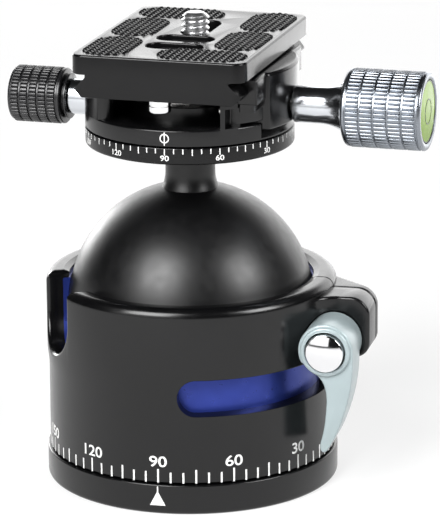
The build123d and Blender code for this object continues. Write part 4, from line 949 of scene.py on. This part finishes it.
def disc_part(radius, chord_x, corner):
    """Part of a disc beyond x = chord_x, seen from above, with its two corners rounded."""
    half = sqrt(radius ** 2 - chord_x ** 2)
    reach = acos(chord_x / radius) - 2.2 * corner / radius
    end = arc(radius, -reach, reach, 64)
    return rounded([(chord_x, -half, corner), *end, (chord_x, half, corner)], 8)


def clamp_rails():
    """Fixed jaw on the left and low rail on the right, within the clamp's round outline."""
    side, foot, reach = DISC_R + 2, CLAMP_Z0 + 1, JAW_TOP_Z + 1
    left = rounded([(-side, foot), (-CHANNEL_X, foot), (-CHANNEL_X, SHELF_Z, 0.25),
                    *channel_side(-1), (-side, JAW_TOP_Z)])
    right = rounded([(CHANNEL_X, foot), (SHELF_X, foot), (SHELF_X, SHELF_Z, 0.2),
                     (CHANNEL_X, SHELF_Z, 0.25)])
    blank = turned(0, DISC_R, CLAMP_Z0 + 0.5, JAW_TOP_Z, (0, 0.5), 320)
    rails = common(joined(along_y(left, side), along_y(right, side)), blank)
    soft = prism(disc_part(DISC_R - 0.02, CHANNEL_X, 2.0), CLAMP_Z0, reach)
    keep_right = cuboid(30, 60, 0.1, (CHANNEL_X + 14.5, 0), CLAMP_Z0, reach, 1)
    return common(rails, joined(moved(soft, Matrix.Rotation(pi, 4, "Z")), keep_right))


def ring_bevel(width):
    """Cutter that slopes the clamp's ring under the boss of the jaw."""
    out, low, high = DISC_R + 0.6, CLAMP_Z0 + 0.35, POCKET_Z + 0.1
    slope = lathe([(DISC_R + 0.1, low), (out, low), (out, high), (DISC_R - 1.4, high)], 320)
    return common(slope, cuboid(15, width, 0, (22.5, 0), CLAMP_Z0, RING_TOP_Z))


def build_clamp():
    ring = turned(RING_BORE_R, DISC_R, CLAMP_Z0, RING_TOP_Z, (0.25, 0.35), 320)
    foot = CLAMP_Z0 + 1
    wall = lathe(rounded([(RING_BORE_R, foot), (BOSS_WALL_R, foot), (BOSS_WALL_R, BOSS_WALL_Z, 0.2),
                          (RING_BORE_R, BOSS_WALL_Z, 0.2)]), 160)
    width = 2 * (BOSS_HALF + 0.5)
    tools = [cuboid(12, width, 0.4, (SHELF_X + 6, 0), POCKET_Z, RING_TOP_Z + 1), ring_bevel(width),
             bore(KNOB_PLACE, CLAMP_SCREW_R + BORE_GAP, 12, 18),
             bore(SIDE_PLACE, BUSHING_R + FIT, 19, 26),
             bore(SIDE_PLACE, LOCK_SCREW_R + BORE_GAP, 9, 20)]
    tools += [cuboid(6, 12, 0.3, (POST_X + 3, side * (OPEN_Y + 6)), OPEN_Z0, OPEN_Z1)
              for side in (1, -1)]
    body = cut(fuse(ring, clamp_rails(), wall), *tools)
    piece("clamp_frame", body, "anodised", "clamp", ["clamp_body"], 28)


def boss_outline():
    """Boss seen from above: flat sides, a round end and soft corners."""
    corner = sqrt(BOSS_R ** 2 - BOSS_HALF ** 2)
    reach = asin(BOSS_HALF / BOSS_R) - 1.6 / BOSS_R
    end = arc(BOSS_R, -reach, reach, 24)
    return rounded([(JAW_X0, -BOSS_HALF), (corner, -BOSS_HALF, 1.2), *end,
                    (corner, BOSS_HALF, 1.2), (JAW_X0, BOSS_HALF)], 8)


def build_jaw():
    blank = turned(0, WING_R, WING_Z, WING_STEP_Z, (0.4, 0.5), 320)
    wing = cuboid(12, 2 * JAW_HALF, 0.4, (JAW_X0 + 6, 0), WING_Z - 1, WING_STEP_Z + 1)
    core_x = JAW_OUT_X - JAW_STEP_BACK
    core = cuboid(core_x - JAW_X0, 2 * (JAW_HALF - JAW_STEP_BACK), 0.4, ((core_x + JAW_X0) / 2, 0),
                  WING_STEP_Z - 0.5, BAR_Z + 0.5)
    bar = along_y(rounded([(JAW_X0, BAR_Z), (JAW_OUT_X, BAR_Z, 0.3), (JAW_OUT_X, JAW_TOP_Z, 0.7),
                           (JAW_X0, JAW_TOP_Z)]), JAW_HALF, (0.35, 0.35))
    boss = prism(boss_outline(), jaw_low.z, JAW_TOP_Z, (0.5, 0.8), 5)
    body = fuse(common(wing, blank), core, bar, boss)
    inside, above = JAW_X0 - 1, JAW_TOP_Z + 1
    channel = rounded([(inside, SHELF_Z), *channel_side(1), (NECK_HALF + FLANK_GAP, above),
                       (inside, above)])
    body = cut(body, along_y(channel, JAW_HALF + 2),
               bore(KNOB_PLACE, CLAMP_SCREW_R + BORE_GAP, 16, 26), bore(KNOB_PLACE, 3.25, 16, 17.7))
    piece("jaw", body, "anodised", "jaw", ["moving_jaw"], 28)


# ==== knobs
def grip(place, radius, bands, ridges, back, front):
    """Grip with straight ridges parted into bands; back and front are the profiles beyond them.

    bands gives where the first begins, where the last ends, and how many there are.
    """
    groove, floor, corner, depth, per_ridge = 0.34, 0.36, 0.16, 0.3, 10
    first, last, count = bands
    pitch = (last - first) / count
    edge = [(radius - corner * (1 - sin(a)), corner * (1 - cos(a))) for a in quarter(3)]
    profile = [(*point, 0.0) for point in back]
    for band in range(count + 1):
        middle = first + band * pitch
        low, high = middle - groove / 2, middle + groove / 2
        if band > 0:
            profile += [(r, low - step, 1.0) for r, step in reversed(edge)]
        profile += [(radius - floor, low, 0.0), (radius - floor, high, 0.0)]
        if band < count:
            profile += [(r, high + step, 1.0) for r, step in edge]
            profile.append((radius, middle + pitch / 2, 1.0))
    profile += [(*point, 0.0) for point in front]

    def relief(angle, index):
        across = abs((angle * ridges / (2 * pi)) % 1.0 * 2 - 1)
        return depth * profile[index][2] * max(0.0, (across - 0.5) / 0.5) ** 1.4

    return moved(lathe([point[:2] for point in profile], ridges * per_ridge, relief), place)


def build_knob_grip():
    x0, x1 = knob_low.x, knob_high.x
    hole, hole_end = CLAMP_SCREW_R + FIT, x0 + 8
    land, rim, waist = 7.3, 1.4, 8.0
    back = [(hole, hole_end), (hole, x0), (6.0, x0), (land, x0 + 0.02)]
    back += [(land + rim * sin(a), x0 + 0.02 + 0.9 * (1 - cos(a))) for a in quarter(6)]
    back += [(land + rim, x0 + 1.2), (waist, x0 + 1.3), (waist, x0 + 1.95),
             (KNOB_R - 0.5, x0 + 2.0)]
    edge, well_r, well_x = 0.6, VIAL_R + FIT, x1 - 2.4
    front = [(KNOB_R, x1 - 0.75)]
    front += [(KNOB_R - edge * (1 - cos(a)), x1 - edge * (1 - sin(a))) for a in quarter(5)]
    front += [(well_r + 0.35, x1), (well_r + 0.1, x1 - 0.1), (well_r, x1 - 0.3), (well_r, well_x),
              (0, well_x), (0, hole_end)]
    bm = grip(KNOB_PLACE, KNOB_R, (38.1, 54.1, 5), 52, back, front)
    piece("knob_grip", bm, "silver", "clamp_knob", ["clamp_knob"], 38)


def build_knob_neck():
    x0, x1 = neck_low.x, neck_high.x
    hole, narrow, wide = CLAMP_SCREW_R + FIT, 4.15, 6.0
    flare_x, flare_end = 30.2, x1 - 0.3
    flare = [(narrow + (wide - narrow) * t ** 2.3, flare_x + (flare_end - flare_x) * t)
             for t in [step / 14 for step in range(15)]]
    profile = [(hole, x1), (hole, x0), (narrow - 0.3, x0), (narrow - 0.08, x0 + 0.08),
               (narrow, x0 + 0.3), *flare, (wide, x1)]
    piece("knob_neck", moved(lathe(profile, 160), KNOB_PLACE), "neck", "clamp_knob",
          ["clamp_knob_neck"], 40)


def build_vial():
    """Level in the end of the large knob, and the black rings on it."""
    back, x = vial_low.x, vial_high.x
    step_r, rim_r = VIAL_R - 0.35, VIAL_R - 0.1
    body = lathe([(0, back), (VIAL_R, back), (VIAL_R, x - 0.35), (rim_r, x - 0.15),
                  (step_r, x - 0.12), (5.0, x - 0.05), (2.6, x), (0, x + 0.02)], 128)
    piece("vial", moved(body, KNOB_PLACE), "vial", "clamp_knob", ["bubble_vial"], 40)
    rings = joined(turned(2.65, 2.88, x - 0.1, x + 0.05, segments=128),
                   turned(step_r, rim_r, x - 0.23, x - 0.08, segments=128))
    piece("vial_rings", moved(rings, KNOB_PLACE), "ink", "clamp_knob", sharp=40)


def build_side_knob():
    """Knob of the clamp's pan lock, on the left."""
    x0, x1, r = -side_high.x, -side_low.x, SIDE_KNOB_R
    hole, hole_end, foot, waist = LOCK_SCREW_R + FIT, x0 + 10, 5.2, 4.8
    band_x = x0 + 2.0
    ring_x = band_x - 0.75
    back = rounded([(hole, hole_end), (hole, x0), (foot, x0, 0.15), (foot, x0 + 0.45, 0.15),
                    (waist, x0 + 0.6), (waist, ring_x - 0.35), (r - 0.3, ring_x - 0.2, 0.1),
                    (r - 0.1, ring_x), (r - 0.1, ring_x + 0.5, 0.1), (r - 0.7, ring_x + 0.55)], 4)
    shoulder, edge, dish_x = r - 0.45, 0.3, x1 - 0.25
    front = [(shoulder - 0.5 * (1 - cos(a)), x1 - edge + edge * sin(a)) for a in quarter(4, 0)]
    front += [(4.6, x1), (4.4, dish_x), (0, dish_x), (0, hole_end)]
    bm = grip(SIDE_PLACE, r, (band_x, x1 - 0.6, 5), 43, back, front)
    piece("side_knob", bm, "knurl_black", "clamp_lock", ["clamp_lock_knob"], 38)


def build_side_bushing():
    bushing = turned(LOCK_SCREW_R + BORE_GAP, BUSHING_R, -bushing_high.x, -bushing_low.x, (0, 0.35),
                     160)
    piece("side_bushing", moved(bushing, SIDE_PLACE), "neck", "clamp",
          ["clamp_lock_bushing"], 40)


def build_rear_knob():
    """Knob of the base's pan lock, at the back."""
    x0, x1, r = LOCK_KNOB_BACK, LOCK_KNOB_BACK + LOCK_KNOB_LEN, LOCK_KNOB_R
    hole, hole_end, neck, neck_x = LOCK_SCREW_R + FIT, x0 + 5, 4.2, x0 - 0.7
    back = rounded([(hole, hole_end), (hole, neck_x), (neck, neck_x, 0.15), (neck, x0),
                    (r - 0.6, x0, 0.2), (r, x0 + 0.3)], 4)
    front = rounded([(r - 0.4, x1 - 0.4), (r - 0.8, x1, 0.2), (4.4, x1), (4.2, x1 - 0.3),
                     (0, x1 - 0.3), (0, hole_end)], 4)
    bm = grip(LOCK_PLACE, r, (x0 + 0.6, x1 - 0.8, 4), 43, back, front)
    piece("rear_knob", bm, "knurl_black", "base_lock", ["pan_lock_knob"], 38)


# ==== plate, pads, pins and screw
def pad_places():
    """Centre, width and length of the six pads."""
    edge, wide, long, cross, space = 1.3, 10.6, 19.3, 20.3, 1.2
    x_side = PLATE_W / 2 - edge - wide / 2
    x_cross = PLATE_W / 2 - edge - cross / 2
    y_end = PLATE_L / 2 - edge
    for half in (1, -1):
        yield (-half * x_cross, PLATE_Y + half * (y_end - wide / 2)), cross, wide
        yield (half * x_side, PLATE_Y + half * (y_end - long / 2)), wide, long
        yield (-half * x_side, PLATE_Y + half * (y_end - wide - space - long / 2)), wide, long


def plate_side(side):
    """Cutter that leaves the dovetail under one edge of the plate."""
    out, low = side * (PLATE_W / 2 + 1), PLATE_Z0 - 1.0
    section = [(side * (FOOT_HALF - 0.6), low), (side * FOOT_HALF, PLATE_Z0 + 0.1, 0.3),
               *flank(side, 0, 0.15), (side * NECK_HALF, FLANGE_Z, 0.2),
               (side * (PLATE_W / 2 - 0.25), FLANGE_Z, 0.3), (out, FLANGE_Z + 0.6), (out, low)]
    return along_y(rounded(section, 4), PLATE_L)


def strap_cutters(y):
    """Strap slot: a shallow flared seat over a narrower opening."""
    seat = rounded_box(13.3, 6.2, 3.09, (0, y), 12)
    return [flared(seat, PLATE_Z1 - 1.3, PLATE_Z1, 0.3),
            cuboid(11.5, 4.4, 2.19, (0, y), PLATE_Z0 - 3, PLATE_Z1 - 1, 12)]


def build_plate():
    outline = rounded_box(PLATE_W, PLATE_L, 3.0, (0, PLATE_Y), 10)
    body = prism(outline, PLATE_Z0, PLATE_Z1, (0.3, 0.45), 5)
    slot_w, travel = 2 * SCREW_SLOT_R, 9.0
    slot = rounded_box(slot_w, travel + slot_w, SCREW_SLOT_R - 0.001, (0, SCREW_Y + travel / 2), 12)
    tools = [plate_side(1), plate_side(-1),
             cuboid(15.6, 37.0, 3.5, (0, 4.0), PLATE_Z0 - 2, 96.6), flared(slot, 95.0, PLATE_Z1, 0.3)]
    for y in STRAPS_Y:
        tools += strap_cutters(y)
    for place, width, length in pad_places():
        seat = rounded_box(width, length, PAD_CORNER, place, 10)
        tools.append(flared(seat, PLATE_Z1 - 0.9, PLATE_Z1, 0.12))
    for y in PINS_Y:
        tools.append(prism(circle(PIN_HOLE_R, (0, y), 48), PLATE_Z0 - 1, PLATE_Z0 + 3.2))
    piece("plate", cut(body, *tools), "plate", "plate", ["quick_release_plate"],
          28)


def knurled_pad(centre, width, length):
    """Pad whose top is parted into domed blocks by deep grooves along Y and finer ones along X."""
    pitch, step, depth, groove, crossing = 1.6, 0.16, 0.55, 0.22, 0.85
    top, low = pads_high.z, pads_low.z
    columns, rows = round(width / step), round(length / step)

    def rise(x, y):
        across = max(0.0, (abs(x / pitch % 1.0 - 0.5) * 2 - groove) / (1 - groove))
        block = abs(y / pitch % 1.0 - 0.5) * 2
        return min(sqrt(1 - (1 - across) ** 2), 1 - crossing * (1 - block))

    def surface(column, row):
        x, y = width * (column / columns - 0.5), length * (row / rows - 0.5)
        return centre[0] + x, centre[1] + y, top - depth * (1 - rise(x, y))

    bm = bmesh.new()
    grid = [[bm.verts.new(surface(column, row)) for column in range(columns + 1)]
            for row in range(rows + 1)]
    for here, ahead in zip(grid, grid[1:]):
        for column in range(columns):
            bm.faces.new((here[column], here[column + 1], ahead[column + 1], ahead[column]))
    border = (grid[0][:-1] + [line[-1] for line in grid[:-1]] + grid[-1][:0:-1]
              + [line[0] for line in grid[:0:-1]])
    bottom = [bm.verts.new((vert.co.x, vert.co.y, low)) for vert in border]
    for index, vert in enumerate(border):
        follow = (index + 1) % len(border)
        bm.faces.new((border[follow], vert, bottom[index], bottom[follow]))
    bm.faces.new(bottom)
    bmesh.ops.recalc_face_normals(bm, faces=bm.faces)
    limit = cuboid(width - 0.15, length - 0.15, PAD_CORNER - 0.08, centre, low - 0.01, top + 0.01, 10)
    return common(bm, limit)


def build_pads():
    pads = [knurled_pad(*pad) for pad in pad_places()]
    piece("pads", joined(*pads), "rubber", "plate", ["rubber_pads"], 50)


def build_pins():
    """Stop pins under the plate, with a turned groove and a domed end."""
    groove_r, stem_r, top = PIN_R - 0.12, PIN_HOLE_R - FIT, PLATE_Z0
    profile = rounded([(0, pin_low.z), (PIN_R, pin_low.z, 0.5), (PIN_R, top - 1.3),
                       (groove_r, top - 1.2), (groove_r, top - 1.0), (PIN_R, top - 0.9),
                       (PIN_R, top - FIT), (stem_r, top - FIT), (stem_r, pin_high.z),
                       (0, pin_high.z)], 5)
    pins = [moved(lathe(profile, 96), Matrix.Translation((0, y, 0))) for y in PINS_Y]
    piece("stop_pins", joined(*pins), "chrome", "plate", ["plate_stop_pins"], 40)


def build_screw():
    """Camera screw: slotted head, shank and the 1/4 inch thread with a rounded end."""
    root, crest, head_r = CAMERA_ROOT_R, CAMERA_THREAD_R + 0.1, 6.8
    top, low = screw_high.z, screw_low.z
    thread_z, head_z = PLATE_Z1 - 2.4, screw_low.z + 2.9
    thread_foot, shank_top = thread_z - 0.6, thread_z + 0.1
    envelope = lathe(rounded([(0, thread_foot), (root, thread_foot), (crest, thread_z + 0.2),
                              (crest, top - 1.15, 0.5), (1.9, top, 1.2), (0, top)], 6), 96)
    thread = common(threaded(root, CAMERA_THREAD_R, CAMERA_PITCH, thread_z, top), envelope)
    head = lathe(rounded([(0, low), (head_r, low, 0.4), (head_r, head_z, 0.2), (root, head_z),
                          (root, shank_top), (0, shank_top)]), 96)
    coin_slot = cuboid(16, 1.4, 0.1, (0, 0), low - 1, low + 1.4, 2)
    body = moved(cut(fuse(thread, head), coin_slot), Matrix.Translation((0, SCREW_Y, 0)))
    piece("mounting_screw", body, "screw", "camera_screw", ["camera_screw"], 40)


# ==== CAD nodes that stay
def dress_kept_nodes():
    kept = {
        "steel": ["dish_screws", "seat_spring", "lug_nut", "clamp_bolt", "button_spring",
                  "pan_lock_screw", "stem_bolt", "cap_screws", "jaw_guide_pins", "clamp_screw",
                  "screw_retaining_ring", "clamp_lock_screw", "screw_washer"],
        "nylon": ["base_pan_washer", "seat_ring", "clamp_pan_washer"],
        "brass": ["pan_lock_shoe"],
        "anodised": ["retaining_dish"],
    }
    for look, nodes in kept.items():
        for node in nodes:
            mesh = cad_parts[node].data
            mesh.materials.clear()
            mesh.materials.append(looks[look])


# ==== stage, light and camera
CAMERA_AZ = 16.59
CAMERA_EL = 15.89
CAMERA_ROLL = -0.44
CAMERA_DISTANCE = 841.8
TARGET_RIGHT = 6.55
TARGET_Z = 49.49
IMAGE_H = 521
FOCAL_PIXELS = 3694.7
SENSOR = 36.0
AIM_Z = 0.05
FLOOR_HALF = 4.0
FLOOR_WHITE = 0.38
FLOOR_LIFT = 0.62
WORLD_GREY = 0.012


def add_camera():
    """Camera that looks at a target point, turned about its own axis by the roll."""
    back, right = outward(CAMERA_AZ, CAMERA_EL), outward(CAMERA_AZ + 90)
    place = Vector((0, 0, TARGET_Z)) + right * TARGET_RIGHT + back * CAMERA_DISTANCE
    data = bpy.data.cameras.new("camera")
    data.sensor_width = SENSOR
    data.lens = FOCAL_PIXELS * SENSOR / IMAGE_H
    camera = bpy.data.objects.new("camera", data)
    roll = Matrix.Rotation(radians(CAMERA_ROLL), 4, "Z")
    camera.matrix_world = along(place * MM, back) @ roll
    scene.collection.objects.link(camera)
    scene.camera = camera


def add_light(name, place, away, width, height, power):
    """Area light at a place in metres that shines against a direction."""
    data = bpy.data.lights.new(name, "AREA")
    data.shape = "RECTANGLE"
    data.size = width
    data.size_y = height
    data.energy = power
    light = bpy.data.objects.new(name, data)
    light.matrix_world = along(place, away, (0, 1, 0) if away.z < -0.9 else (0, 0, 1))
    scene.collection.objects.link(light)


def add_softbox(name, azimuth, elevation, distance, width, height, power):
    """Area light that faces the middle of the object."""
    direction = outward(azimuth, elevation)
    place = Vector((0, 0, AIM_Z)) + direction * distance
    add_light(name, place, direction, width, height, power)


def add_lights():
    add_softbox("key_left", -19, 37, 0.75, 0.42, 0.42, 8.0)
    add_softbox("key_right", 77, 32, 0.75, 0.32, 0.34, 4.6)
    add_softbox("front_fill", -20, 12, 1.3, 1.2, 0.45, 2.2)
    add_softbox("back_wall", 188, 15, 1.15, 2.2, 0.66, 12.0)
    add_softbox("left_back", 226, 5, 1.0, 0.40, 0.26, 2.6)
    add_light("light_table", Vector((0.16, 0.53, 0.004)), Vector((0, 0, -1)), 0.7, 0.40, 1.6)


def seen_white(name, base, lift):
    """Pale material that camera and mirror rays see lifted towards white; its shadow stays."""
    material = bpy.data.materials.new(name)
    material.use_nodes = True
    tree = material.node_tree
    tree.nodes.clear()
    rays = tree.nodes.new("ShaderNodeLightPath").outputs

    def reckon(operation, first, second):
        node = add_node(tree, "Math", {0: first, 1: second})
        node.operation = operation
        return node.outputs[0]

    seen = reckon("MAXIMUM", rays["Is Camera Ray"], rays["Is Glossy Ray"])
    seen = reckon("MAXIMUM", seen, rays["Is Transmission Ray"])
    matte = add_node(tree, "BsdfDiffuse", {"Color": (base, base, base, 1)})
    glow = add_node(tree, "Emission", {"Strength": reckon("MULTIPLY", seen, lift)})
    both = add_node(tree, "AddShader", {0: matte.outputs[0], 1: glow.outputs[0]})
    add_node(tree, "OutputMaterial", {"Surface": both.outputs[0]})
    return material


def add_stage():
    corners = [(x * FLOOR_HALF, y * FLOOR_HALF, 0) for x, y in ((-1, -1), (1, -1), (1, 1), (-1, 1))]
    mesh = bpy.data.meshes.new("floor")
    mesh.from_pydata(corners, [], [(0, 1, 2, 3)])
    mesh.materials.append(seen_white("floor_white", FLOOR_WHITE, FLOOR_LIFT))
    floor = bpy.data.objects.new("floor", mesh)
    scene.collection.objects.link(floor)


def add_world():
    """White for the camera and dim for every other ray."""
    world = bpy.data.worlds.new("studio")
    scene.world = world
    world.use_nodes = True
    tree = world.node_tree
    tree.nodes.clear()
    rays = tree.nodes.new("ShaderNodeLightPath").outputs
    dim = add_node(tree, "Background", {"Color": (WORLD_GREY, WORLD_GREY, WORLD_GREY, 1)})
    white = add_node(tree, "Background", {"Color": (1, 1, 1, 1)})
    pick = add_node(tree, "MixShader", {"Fac": rays["Is Camera Ray"], 1: dim.outputs[0],
                                        2: white.outputs[0]})
    add_node(tree, "OutputWorld", {"Surface": pick.outputs[0]})


build_base()
build_bush()
build_housing()
build_cup()
build_lever()
build_button()
build_lever_washer()
build_ball()
build_disc()
build_hub_cap()
build_marks()
build_clamp()
build_jaw()
build_knob_grip()
build_knob_neck()
build_vial()
build_side_knob()
build_side_bushing()
build_rear_knob()
build_plate()
build_pads()
build_pins()
build_screw()
dress_kept_nodes()

add_camera()
add_stage()
add_world()
add_lights()
scene.view_settings.view_transform = "Standard"
